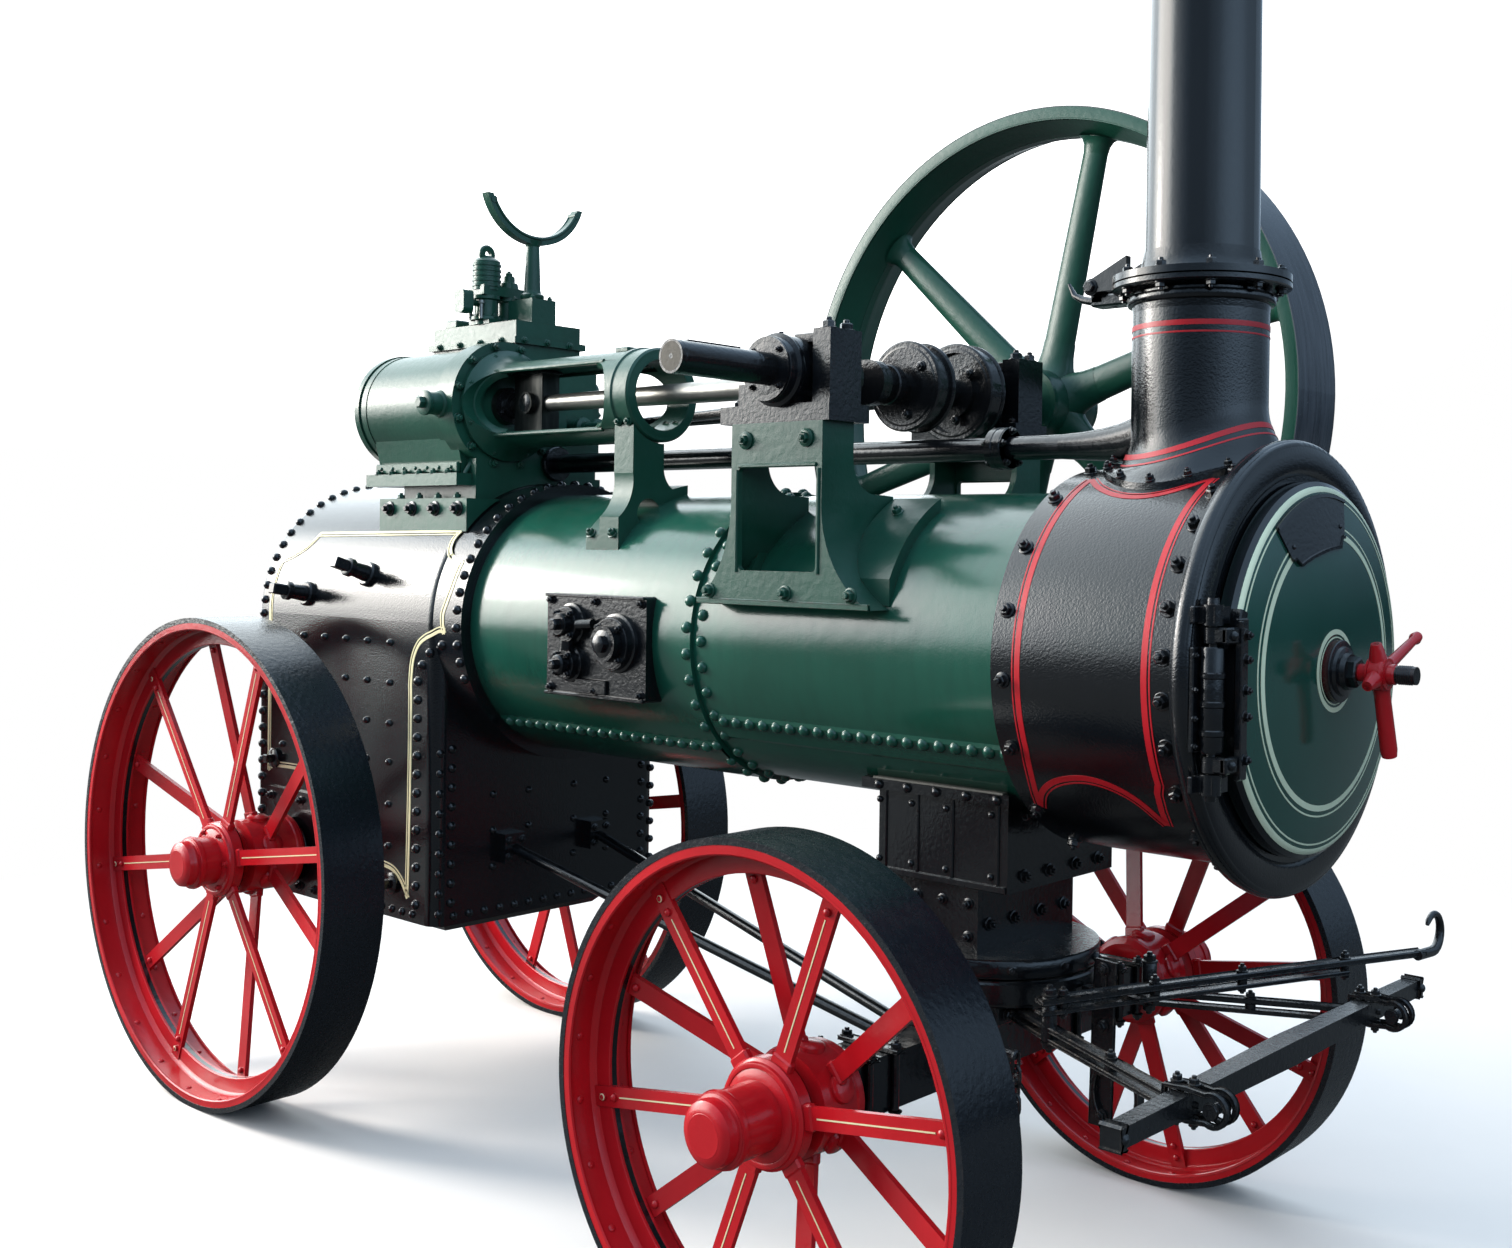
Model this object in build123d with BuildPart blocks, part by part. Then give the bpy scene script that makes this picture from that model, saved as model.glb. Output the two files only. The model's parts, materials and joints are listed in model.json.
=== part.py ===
import os
from math import cos, radians, sin
from build123d import *

os.makedirs("parts", exist_ok=True)

# Frame: +X towards the smokebox, +Y towards the flywheel, +Z up, ground at zero
rear_axle_x = -1269.5
rear_wheel_r = 686.0
rear_tyre_w = 172.0
rear_hub_nose = 46.0
rear_hub_tail = 290.0
hub_gap = 26.0
front_axle_x = rear_axle_x + 2270.0
front_wheel_r = 527.0
front_wheel_face = 795.0
front_tyre_w = 166.0
front_hub_nose = 90.0
front_hub_tail = 250.0
tyre_t = 14.0
axle_r = 38.0
run_gap = 0.05

# Boiler
boiler_z = 1376.0
firebox_x0 = rear_axle_x - 235.0
firebox_x1 = rear_axle_x + 690.0
firebox_w = 780.0
rear_wheel_face = firebox_w / 2 + hub_gap + rear_hub_tail
firebox_z0 = 560.0
firehole_z = 1050.0
firehole_pin_y = 232.0
firehole_pin_x = firebox_x0 - 27.0
wrapper_x1 = rear_axle_x + 795.0
wrapper_r = 386.0
strake_r1 = 356.0
strake_r2 = 346.0
seam_x = rear_axle_x + 1645.0
smoke_x0 = rear_axle_x + 2537.0
smoke_x1 = rear_axle_x + 2985.0
smoke_r = 394.0
smoke_t = 10.0
ring_r = 440.0
ring_x1 = smoke_x1 + 10.0
door_r = 362.0
door_x0 = ring_x1 + 6.0
door_pin_x = ring_x1 + 26.0
door_pin_y = -400.0

# Chimney
chim_x = rear_axle_x + 2762.0
chim_base_r = 137.0
chim_tube_r = 112.0
flare_r = 190.0
flare_z0 = boiler_z + 394.0
flare_z1 = flare_z0 + 250.0
exhaust_y = 20.0
exhaust_z = boiler_z + 448.0
flange_z = 2140.0
flange_r = 180.0
fold_x = chim_x - 236.0
fold_z = 2152.0
chim_top_z = 4400.0

# Crankshaft
shaft_x = rear_axle_x + 1966.0
shaft_z = 1977.0
shaft_r = 36.0
pulley_seat_r = 35.0
shaft_y0 = -715.0
shaft_y1 = 775.0
fly_r = 762.0
fly_y0 = 515.0
fly_w = 192.0
crank_y = -150.0
crank_throw = 150.0
bearing_y = 335.0
bearing_face = 445.0
pulley_seat_y = -bearing_face - 5.0
sole_z = shaft_z - 111.0
web_t = 30.0
web_gap = 70.0

# Cylinder
cyl_y = -150.0
cyl_x0 = rear_axle_x + 170.0
cyl_x1 = rear_axle_x + 660.0
cyl_r = 165.0
flange_t = 75.0
chest_y = 60.0
chest_top_z = 2100.0
dome_top_z = 2228.0
guide_x1 = rear_axle_x + 1310.0
guide_r = 119.0
guide_bore_r = 90.0
window_h = 176.0
saddle_half_w = 300.0


def saddle_z(y, radius):
    """Height of a round boiler shell at a sideways distance."""
    return boiler_z + (radius * radius - y * y) ** 0.5


# Barrel of two strakes with a ring at the joint
with BuildPart() as boiler_barrel:
    with BuildSketch(Plane.YZ.offset(firebox_x1 - 60)):
        with Locations((0, boiler_z)):
            Circle(strake_r1)
    extrude(amount=seam_x - firebox_x1 + 60)
    with BuildSketch(Plane.YZ.offset(seam_x - 10)):
        with Locations((0, boiler_z)):
            Circle(strake_r2)
    extrude(amount=smoke_x0 - seam_x + 10)

# Firebox with a round top and a deep front plate
with BuildPart() as firebox:
    with BuildSketch(Plane.YZ.offset(firebox_x0)):
        with BuildLine():
            Line((-firebox_w / 2, boiler_z), (-firebox_w / 2, firebox_z0))
            Line((-firebox_w / 2, firebox_z0), (firebox_w / 2, firebox_z0))
            Line((firebox_w / 2, firebox_z0), (firebox_w / 2, boiler_z))
            ThreePointArc(
                (firebox_w / 2, boiler_z), (0, boiler_z + firebox_w / 2),
                (-firebox_w / 2, boiler_z)
            )
        make_face()
    extrude(amount=firebox_x1 - firebox_x0)
    fillet(
        firebox.edges().group_by(Axis.X)[0].filter_by(lambda e: e.center().Z > firebox_z0 + 5),
        radius=22
    )
    fillet(
        firebox.edges().group_by(Axis.X)[-1].filter_by(lambda e: e.center().Z > firebox_z0 + 5),
        radius=38
    )
    with BuildSketch(Plane.YZ.offset(firebox_x1 - 120)):
        with Locations((0, boiler_z)):
            Circle(wrapper_r)
    extrude(amount=wrapper_x1 - firebox_x1 + 120)
    with BuildSketch(Plane.YZ.offset(firebox_x0)):
        with Locations((0, firehole_z)):
            SlotOverall(330, 250)
    extrude(amount=160, mode=Mode.SUBTRACT)
    with BuildSketch(Plane.YZ.offset(firebox_x1 - 80)):
        with Locations((0, boiler_z)):
            Circle(strake_r1)
    extrude(amount=300, mode=Mode.SUBTRACT)

# Foundation ring and ash pan under the firebox
with BuildPart() as ash_pan:
    with BuildSketch(Plane.XY.offset(firebox_z0 - 10)):
        with Locations(((firebox_x0 + firebox_x1) / 2, 0)):
            Rectangle(firebox_x1 - firebox_x0 - 60, firebox_w - 90)
    extrude(amount=10)
    with BuildSketch(Plane.XY.offset(firebox_z0 - 50)):
        with Locations(((firebox_x0 + firebox_x1) / 2, 0)):
            Rectangle(firebox_x1 - firebox_x0 - 260, firebox_w - 260)
    with BuildSketch(Plane.XY.offset(firebox_z0 - 10)):
        with Locations(((firebox_x0 + firebox_x1) / 2, 0)):
            Rectangle(firebox_x1 - firebox_x0 - 180, firebox_w - 180)
    loft()

# Hinged firehole door
with BuildPart() as firehole_door:
    with BuildSketch(Plane.YZ.offset(firebox_x0 - 22)):
        with Locations((0, firehole_z)):
            SlotOverall(400, 320)
    extrude(amount=14)
    with BuildSketch(Plane.YZ.offset(firebox_x0 - 34)):
        with Locations((56, firehole_z + 70), (56, firehole_z - 70)):
            Rectangle(328, 34)
    extrude(amount=14)
    with BuildSketch(Plane.XY.offset(firehole_z - 100)):
        with Locations((firehole_pin_x, firehole_pin_y)):
            Circle(13)
    extrude(amount=200)
    with BuildSketch(Plane.XY.offset(firehole_z - 125)):
        with Locations((firehole_pin_x, firehole_pin_y)):
            Circle(8)
    extrude(amount=250)
    with BuildSketch(Plane.YZ.offset(firebox_x0 - 60)):
        with Locations((-130, firehole_z)):
            Circle(9)
    extrude(amount=45)
    with BuildSketch(Plane.YZ.offset(firebox_x0 - 80)):
        with Locations((-130, firehole_z)):
            Circle(15)
    extrude(amount=20)

with BuildPart() as firehole_hinge:
    for hz in (firehole_z - 121, firehole_z + 105):
        with BuildSketch(Plane.XY.offset(hz)):
            with Locations((firehole_pin_x, firehole_pin_y)):
                Circle(16)
            with Locations((firehole_pin_x + 14, firehole_pin_y)):
                Rectangle(26, 32)
            with Locations((firehole_pin_x, firehole_pin_y)):
                Circle(8 + run_gap, mode=Mode.SUBTRACT)
        extrude(amount=16)

# Smokebox shell, front ring, tube plate
with BuildPart() as smokebox:
    with BuildSketch(Plane.YZ.offset(smoke_x0)):
        with Locations((0, boiler_z)):
            Circle(smoke_r)
    extrude(amount=smoke_x1 - smoke_x0)
    with BuildSketch(Plane.YZ.offset(smoke_x1 - 26)):
        with Locations((0, boiler_z)):
            Circle(ring_r)
    extrude(amount=ring_x1 - smoke_x1 + 26)
    fillet(smokebox.edges().group_by(Axis.X)[-1], radius=9)
    with BuildSketch(Plane.YZ.offset(smoke_x0 + 12)):
        with Locations((0, boiler_z)):
            Circle(smoke_r - smoke_t)
    extrude(amount=smoke_x1 - smoke_x0 - 40, mode=Mode.SUBTRACT)
    with BuildSketch(Plane.YZ.offset(smoke_x1 - 60)):
        with Locations((0, boiler_z)):
            Circle(smoke_r - 40)
    extrude(amount=80, mode=Mode.SUBTRACT)

# Dished smokebox door, hollow behind
with BuildPart() as smokebox_door:
    with BuildSketch(Plane.XZ):
        with BuildLine():
            Polyline(
                (smoke_x1 + 80, boiler_z), (door_x0, boiler_z), (door_x0, boiler_z + door_r),
                (door_x0 + 22, boiler_z + door_r), (door_x0 + 34, boiler_z + door_r - 14)
            )
            ThreePointArc(
                (door_x0 + 34, boiler_z + door_r - 14), (smoke_x1 + 72, boiler_z + door_r / 2),
                (smoke_x1 + 80, boiler_z + 60)
            )
            Line((smoke_x1 + 80, boiler_z + 60), (smoke_x1 + 80, boiler_z))
        make_face()
    revolve(axis=Axis((0, 0, boiler_z), (1, 0, 0)))
    with BuildSketch(Plane.XZ):
        with BuildLine():
            Polyline(
                (smoke_x1 + 66, boiler_z), (door_x0, boiler_z), (door_x0, boiler_z + door_r - 30),
                (door_x0 + 22, boiler_z + door_r - 30)
            )
            ThreePointArc(
                (door_x0 + 22, boiler_z + door_r - 30), (smoke_x1 + 58, boiler_z + door_r / 2),
                (smoke_x1 + 66, boiler_z + 50)
            )
            Line((smoke_x1 + 66, boiler_z + 50), (smoke_x1 + 66, boiler_z))
        make_face()
    revolve(axis=Axis((0, 0, boiler_z), (1, 0, 0)), mode=Mode.SUBTRACT)

with BuildPart() as door_spindle:
    with BuildSketch(Plane.YZ.offset(smoke_x1 + 80)):
        with Locations((0, boiler_z)):
            Circle(60)
    extrude(amount=12)
    with BuildSketch(Plane.YZ.offset(smoke_x1 + 92)):
        with Locations((0, boiler_z)):
            Circle(17)
    extrude(amount=148)
    with BuildSketch(Plane.YZ.offset(smoke_x1 + 150)):
        with Locations((0, boiler_z)):
            Circle(30)
    extrude(amount=36)
    for ang, length in ((20, 190), (200, 60), (108, 60), (288, 170)):
        arm = (0, cos(radians(ang)), sin(radians(ang)))
        with BuildSketch(Plane(origin=(smoke_x1 + 168, 0, boiler_z), x_dir=(1, 0, 0), z_dir=arm)):
            Circle(8)
        extrude(amount=length)

# Door hinge: lugs on the front ring with a pin, then the straps that turn on it
with BuildPart() as door_hinge:
    with BuildSketch(Plane.XY.offset(boiler_z - 196)):
        with Locations((door_pin_x, door_pin_y)):
            Circle(9)
    extrude(amount=325)
    for hz in (-196.0, 99.0):
        with BuildSketch(Plane.XY.offset(boiler_z + hz)):
            with Locations(((ring_x1 + door_pin_x + 12) / 2, door_pin_y + 12)):
                Rectangle(door_pin_x + 12 - ring_x1, 56)
        extrude(amount=30)

with BuildPart() as door_straps:
    for hz in (-161.0, 64.0):
        with BuildSketch(Plane.XY.offset(boiler_z + hz)):
            with Locations((door_pin_x, door_pin_y)):
                Circle(16)
            with Locations((door_pin_x + 18, door_pin_y)):
                Rectangle(36, 28)
            with Locations((smoke_x1 + 62, door_pin_y + 62)):
                Rectangle(28, 152)
        extrude(amount=30)
        with BuildSketch(Plane.XY.offset(boiler_z + hz - 1)):
            with Locations((door_pin_x, door_pin_y)):
                Circle(9 + run_gap)
        extrude(amount=32, mode=Mode.SUBTRACT)
    with BuildSketch(Plane.XZ):
        with BuildLine():
            Polyline(
                (smoke_x1 + 80, boiler_z), (door_x0, boiler_z), (door_x0, boiler_z + door_r),
                (door_x0 + 22, boiler_z + door_r), (door_x0 + 34, boiler_z + door_r - 14)
            )
            ThreePointArc(
                (door_x0 + 34, boiler_z + door_r - 14), (smoke_x1 + 72, boiler_z + door_r / 2),
                (smoke_x1 + 80, boiler_z + 60)
            )
            Line((smoke_x1 + 80, boiler_z + 60), (smoke_x1 + 80, boiler_z))
        make_face()
    revolve(axis=Axis((0, 0, boiler_z), (1, 0, 0)), mode=Mode.SUBTRACT)

# Chimney base on its saddle
with BuildPart() as chimney_base:
    with BuildSketch(Plane.XY.offset(boiler_z + 300)):
        with Locations((chim_x, 0)):
            Circle(chim_base_r)
    extrude(amount=flange_z - boiler_z - 300)
    with BuildSketch(Plane.XY.offset(boiler_z + 200)):
        with Locations((chim_x, 0)):
            Rectangle(380, 420)
    extrude(amount=230)
    with BuildSketch(Plane.YZ.offset(chim_x - 250)):
        with Locations((0, boiler_z)):
            Circle(smoke_r + 400)
            Circle(smoke_r + 16, mode=Mode.SUBTRACT)
    extrude(amount=500, mode=Mode.SUBTRACT)
    with BuildSketch(Plane.XY.offset(boiler_z + 300)):
        with Locations((chim_x, 0)):
            Circle(chim_base_r)
    extrude(amount=flange_z - boiler_z - 300)
    with BuildSketch(Plane.XZ):
        with BuildLine():
            Polyline(
                (chim_x, flare_z1), (chim_x, flare_z0), (chim_x + flare_r, flare_z0),
                (chim_x + flare_r, flare_z0 + 22)
            )
            ThreePointArc(
                (chim_x + flare_r, flare_z0 + 22), (chim_x + 160, flare_z0 + 110),
                (chim_x + chim_base_r, flare_z1)
            )
            Line((chim_x + chim_base_r, flare_z1), (chim_x, flare_z1))
        make_face()
    revolve(axis=Axis((chim_x, 0, 0), (0, 0, 1)))
    with BuildSketch(Plane.YZ.offset(chim_x - 190)):
        with Locations((exhaust_y, exhaust_z)):
            Circle(42)
    extrude(amount=100)
    with BuildSketch(Plane.XY.offset(flange_z - 44)):
        with Locations((chim_x, 0)):
            Circle(149)
    extrude(amount=20)
    with BuildSketch(Plane.XY.offset(flange_z - 14)):
        with Locations((chim_x, 0)):
            Circle(flange_r)
    extrude(amount=14)
    with BuildSketch(Plane.YZ.offset(smoke_x0)):
        with Locations((0, boiler_z)):
            Circle(smoke_r)
    extrude(amount=smoke_x1 - smoke_x0, mode=Mode.SUBTRACT)
    with BuildSketch(Plane.XZ.offset(-24)):
        with BuildLine():
            Polyline(
                (chim_x - 150, flange_z - 60), (chim_x - 150, flange_z), (fold_x - 20, flange_z),
                (fold_x - 20, flange_z - 20), (chim_x - 150, flange_z - 60)
            )
        make_face()
    extrude(amount=48)
    with BuildSketch(Plane.XZ.offset(-24)):
        with Locations((fold_x, fold_z)):
            Circle(16)
        with Locations((fold_x, fold_z - 12)):
            Rectangle(32, 24)
    extrude(amount=48)
    with BuildSketch(Plane.XZ.offset(-50)):
        with Locations((fold_x, fold_z)):
            Circle(8)
    extrude(amount=100)

# Folding chimney
with BuildPart() as chimney:
    with BuildSketch(Plane.XY.offset(flange_z + 1)):
        with Locations((chim_x, 0)):
            Circle(flange_r)
    extrude(amount=14)
    with BuildSketch(Plane.XY.offset(flange_z + 10)):
        with Locations((chim_x, 0)):
            Circle(chim_tube_r + 4)
    with BuildSketch(Plane.XY.offset(chim_top_z - 190)):
        with Locations((chim_x, 0)):
            Circle(chim_tube_r - 10)
    loft()
    with BuildSketch(Plane.XZ):
        with BuildLine():
            Polyline(
                (chim_x, chim_top_z - 200), (chim_x + 104, chim_top_z - 200),
                (chim_x + 112, chim_top_z - 180), (chim_x + 106, chim_top_z - 160),
                (chim_x + 120, chim_top_z - 90), (chim_x + 165, chim_top_z - 12),
                (chim_x + 165, chim_top_z), (chim_x, chim_top_z), (chim_x, chim_top_z - 200)
            )
        make_face()
    revolve(axis=Axis((chim_x, 0, 0), (0, 0, 1)))
    with BuildSketch(Plane.XY.offset(chim_top_z)):
        with Locations((chim_x, 0)):
            Circle(96)
    extrude(amount=-260, mode=Mode.SUBTRACT)
    for hy in (-29.0 - 18.0, 29.0):
        with BuildSketch(Plane.XZ.offset(-hy - 18)):
            with Locations((fold_x, fold_z)):
                Circle(18)
            with BuildLine():
                Polyline(
                    (fold_x - 14, fold_z + 10), (chim_x - 150, flange_z + 70),
                    (chim_x - 150, flange_z + 2), (fold_x, fold_z - 11),
                    (fold_x - 14, fold_z + 10)
                )
            make_face()
        extrude(amount=18)
        with BuildSketch(Plane.XZ.offset(-hy - 19)):
            with Locations((fold_x, fold_z)):
                Circle(8 + run_gap)
        extrude(amount=20, mode=Mode.SUBTRACT)

# Forked rest for the folded chimney
crutch_x = rear_axle_x + 570.0
fork_z = 2484.0
fork_r = 161.0
with BuildPart() as chimney_crutch:
    with BuildSketch(Plane.XY.offset(dome_top_z)):
        with Locations((crutch_x, 0)):
            Rectangle(110, 84)
    extrude(amount=70)
    with BuildSketch(Plane.XZ):
        with BuildLine():
            Polyline(
                (crutch_x, dome_top_z + 60), (crutch_x + 30, dome_top_z + 60),
                (crutch_x + 24, dome_top_z + 100), (crutch_x + 19, fork_z - 30),
                (crutch_x + 26, fork_z - 12), (crutch_x, fork_z - 12), (crutch_x, dome_top_z + 60)
            )
        make_face()
    revolve(axis=Axis((crutch_x, 0, 0), (0, 0, 1)))
    with BuildSketch(Plane.YZ.offset(crutch_x - 15)):
        with Locations((0, fork_z - 24 + fork_r + 14)):
            Circle(fork_r + 14)
        with Locations((0, fork_z + fork_r)):
            Circle(fork_r, mode=Mode.SUBTRACT)
        with Locations((0, fork_z + 100 + fork_r)):
            Rectangle(3 * fork_r, 2 * fork_r, mode=Mode.SUBTRACT)
    extrude(amount=30)

# Cylinder with cladding, covers, skirt and saddle
foot_z = saddle_z(saddle_half_w, firebox_w / 2) + 91
with BuildPart() as cylinder_block:
    with BuildSketch(Plane.YZ.offset(cyl_x0)):
        with Locations((cyl_y, shaft_z)):
            Circle(cyl_r)
    extrude(amount=cyl_x1 - flange_t - cyl_x0)
    with BuildSketch(Plane.YZ.offset(cyl_x0 - 8)):
        with Locations((cyl_y, shaft_z)):
            Circle(cyl_r + 5)
    extrude(amount=22)
    with BuildSketch(Plane.YZ.offset(cyl_x0 - 22)):
        with Locations((cyl_y, shaft_z)):
            Circle(cyl_r - 55)
    extrude(amount=16)
    with BuildSketch(Plane.YZ.offset(cyl_x1 - flange_t)):
        with Locations((cyl_y, shaft_z)):
            Circle(cyl_r + 15)
    extrude(amount=flange_t)
    with BuildSketch(Plane.YZ.offset(cyl_x0 + 50)):
        with BuildLine():
            Polyline(
                (-270, foot_z + 70), (-270, shaft_z - 160), (-286, shaft_z - 92), (cyl_y, shaft_z),
                (cyl_y, chest_top_z), (chest_y, chest_top_z), (chest_y, foot_z + 70),
                (-270, foot_z + 70)
            )
        make_face()
    extrude(amount=400)
    with BuildSketch(Plane.XY.offset(foot_z + 36)):
        with Locations((cyl_x0 + 250, -50)):
            Rectangle(444, 500)
    extrude(amount=34)
    with BuildSketch(Plane.XY.offset(foot_z)):
        with Locations((cyl_x0 + 300, -5)):
            Rectangle(340, 470)
    extrude(amount=40)
    with BuildSketch(Plane.XY.offset(foot_z)):
        with Locations((cyl_x1 - 45, -95)):
            Rectangle(90, 310)
    extrude(amount=shaft_z - foot_z)
    with BuildSketch(Plane.XY.offset(foot_z - 91)):
        with Locations((cyl_x0 + 310, 0)):
            Rectangle(420, 2 * saddle_half_w)
    extrude(amount=91)
    with BuildSketch(Plane.YZ.offset(cyl_x0)):
        with Locations((0, boiler_z)):
            Circle(firebox_w / 2)
    extrude(amount=cyl_x1 - cyl_x0 + 200, mode=Mode.SUBTRACT)
    with BuildSketch(Plane.XZ.offset(-cyl_y + cyl_r + 10)):
        with Locations((cyl_x1 - 60, shaft_z - 4)):
            Circle(30)
    extrude(amount=55)

# Valve chest on the far side with its cover and two rod glands
with BuildPart() as steam_chest:
    with BuildSketch(Plane.XY.offset(foot_z + 70)):
        with Locations((cyl_x0 + 250, chest_y + 70)):
            Rectangle(400, 140)
    extrude(amount=chest_top_z - foot_z - 70)
    with BuildSketch(Plane.XZ.offset(-chest_y - 140)):
        with Locations((cyl_x0 + 250, (chest_top_z + foot_z + 70) / 2)):
            RectangleRounded(370, chest_top_z - foot_z - 110, 30)
    extrude(amount=-24)
    with BuildSketch(Plane.YZ.offset(cyl_x0 + 450)):
        with Locations((chest_y + 45, shaft_z - 40), (chest_y + 100, shaft_z - 40)):
            Circle(24)
    extrude(amount=60)
    with BuildSketch(Plane.YZ.offset(cyl_x0 + 500)):
        with Locations((chest_y + 45, shaft_z - 40), (chest_y + 100, shaft_z - 40)):
            Circle(11)
    extrude(amount=130)

# Regulator housing on top
with BuildPart() as dome_chest:
    with BuildSketch(Plane.XY.offset(chest_top_z)):
        with Locations((cyl_x0 + 260, 14)):
            Rectangle(400, 228)
    extrude(amount=dome_top_z - chest_top_z)
    with BuildSketch(Plane.XY.offset(dome_top_z - 66)):
        with Locations((cyl_x0 + 260, 14)):
            Rectangle(424, 252)
    extrude(amount=18)
    with BuildSketch(Plane.YZ.offset(cyl_x0)):
        with Locations((cyl_y, shaft_z)):
            Circle(cyl_r + 15)
    extrude(amount=600, mode=Mode.SUBTRACT)

# Spring safety valves: seats, bridge, spring case, lifting eye and side weight
valve_x = rear_axle_x + 458.0
valve_y = -78.0
with BuildPart() as safety_valves:
    with BuildSketch(Plane.XY.offset(dome_top_z)):
        with Locations((valve_x, valve_y + 40)):
            Rectangle(96, 130)
    extrude(amount=14)
    with BuildSketch(Plane.XY.offset(dome_top_z)):
        with Locations((valve_x, valve_y), (valve_x, valve_y + 78)):
            Circle(33)
    extrude(amount=100)
    with BuildSketch(Plane.XY.offset(dome_top_z + 84)):
        with Locations((valve_x, valve_y + 38)):
            Rectangle(72, 146)
    extrude(amount=28)
    with BuildSketch(Plane.XY.offset(dome_top_z + 100)):
        with Locations((valve_x, valve_y)):
            Circle(39)
    extrude(amount=84)
    with BuildSketch(Plane.XY.offset(dome_top_z + 180)):
        with Locations((valve_x, valve_y)):
            Circle(22)
    extrude(amount=14)
    with BuildSketch(Plane.YZ.offset(valve_x - 7)):
        with Locations((valve_y, dome_top_z + 206)):
            Circle(20)
            Circle(10, mode=Mode.SUBTRACT)
    extrude(amount=14)
    with BuildSketch(Plane.XZ.offset(-valve_y + 30)):
        with Locations((valve_x, dome_top_z + 60)):
            Circle(9)
    extrude(amount=34)
    with BuildSketch(Plane.XZ.offset(-valve_y + 60)):
        with Locations((valve_x, dome_top_z + 60)):
            RectangleRounded(46, 66, 14)
    extrude(amount=34)

# Trunk guide: flared root, two slide bars left by the windows, end ring
with BuildPart() as trunk_guide:
    with BuildSketch(Plane.XZ.offset(-cyl_y)):
        with BuildLine():
            Polyline(
                (guide_x1, shaft_z), (cyl_x1, shaft_z), (cyl_x1, shaft_z + guide_r + 35),
                (cyl_x1 + 14, shaft_z + guide_r + 35)
            )
            ThreePointArc(
                (cyl_x1 + 14, shaft_z + guide_r + 35), (cyl_x1 + 46, shaft_z + guide_r + 10),
                (cyl_x1 + 96, shaft_z + guide_r)
            )
            Polyline(
                (cyl_x1 + 96, shaft_z + guide_r), (guide_x1 - 75, shaft_z + guide_r),
                (guide_x1 - 72, shaft_z + guide_r + 5), (guide_x1 - 60, shaft_z + guide_r + 5),
                (guide_x1 - 57, shaft_z + guide_r + 1), (guide_x1 - 6, shaft_z + guide_r + 1),
                (guide_x1, shaft_z + guide_r - 4), (guide_x1, shaft_z)
            )
        make_face()
    revolve(axis=Axis((0, cyl_y, shaft_z), (1, 0, 0)))
    with BuildSketch(Plane.YZ.offset(cyl_x1)):
        with Locations((cyl_y, shaft_z)):
            Circle(guide_bore_r)
    extrude(amount=guide_x1 - cyl_x1, mode=Mode.SUBTRACT)
    with BuildSketch(Plane.XZ.offset(-cyl_y - 200)):
        with Locations((cyl_x1 + 100, shaft_z)):
            Circle(window_h / 2)
        with Locations(((cyl_x1 + guide_x1) / 2 + 8, shaft_z)):
            RectangleRounded(guide_x1 - cyl_x1 - 184, window_h, 14)
    extrude(amount=400, mode=Mode.SUBTRACT)

# Guide bracket: a post that spreads into two feet over an arch
with BuildPart() as guide_bracket:
    with BuildSketch(Plane.YZ.offset(guide_x1 - 73)):
        with BuildLine():
            Polyline((-60, boiler_z + 200), (-290, boiler_z + 200), (-290, boiler_z + 288))
            ThreePointArc((-290, boiler_z + 288), (-258, boiler_z + 325), (-245, boiler_z + 400))
            Polyline(
                (-245, boiler_z + 400), (-245, shaft_z - 40), (-143, shaft_z - 40),
                (-143, boiler_z + 412)
            )
            ThreePointArc((-143, boiler_z + 412), (-124, boiler_z + 372), (-60, boiler_z + 356))
            Line((-60, boiler_z + 356), (-60, boiler_z + 200))
        make_face()
    extrude(amount=72)
    with BuildSketch(Plane.YZ.offset(guide_x1 - 124)):
        with Locations((0, boiler_z)):
            Circle(strake_r1 + 24)
        with Locations((-175, boiler_z + 320)):
            Rectangle(230, 240, mode=Mode.INTERSECT)
    extrude(amount=123)
    with BuildSketch(Plane.YZ.offset(guide_x1 - 130)):
        with Locations((0, boiler_z)):
            Circle(strake_r1)
        with Locations((-192, saddle_z(192, strake_r1))):
            Circle(37)
        with Locations((cyl_y, shaft_z)):
            Circle(guide_r + 5)
    extrude(amount=200, mode=Mode.SUBTRACT)

# Piston rod, crosshead and the connecting rod, open short of the crank pin
with BuildPart() as connecting_rod:
    with BuildSketch(Plane.YZ.offset(cyl_x1)):
        with Locations((cyl_y, shaft_z)):
            Circle(24)
    extrude(amount=100)
    with BuildSketch(Plane.YZ.offset(cyl_x1)):
        with Locations((cyl_y, shaft_z)):
            Circle(52)
    extrude(amount=22)
    with BuildSketch(Plane.YZ.offset(cyl_x1 + 75)):
        with Locations((cyl_y, shaft_z)):
            Rectangle(58, window_h - 12)
    extrude(amount=120)
    with BuildSketch(Plane.XZ.offset(-cyl_y - 45)):
        with Locations((cyl_x1 + 140, shaft_z)):
            Circle(30)
    extrude(amount=90)
    with BuildSketch(Plane.YZ.offset(cyl_x1 + 160)):
        with Locations((cyl_y, shaft_z)):
            Circle(22)
    with BuildSketch(Plane.YZ.offset(shaft_x - 330)):
        with Locations((cyl_y, shaft_z)):
            Circle(28)
    loft()
    with BuildSketch(Plane.YZ.offset(shaft_x - 340)):
        with Locations((cyl_y, shaft_z)):
            Rectangle(52, 62)
    with BuildSketch(Plane.YZ.offset(shaft_x - 236)):
        with Locations((cyl_y, shaft_z)):
            Rectangle(60, 96)
    loft()

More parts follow.
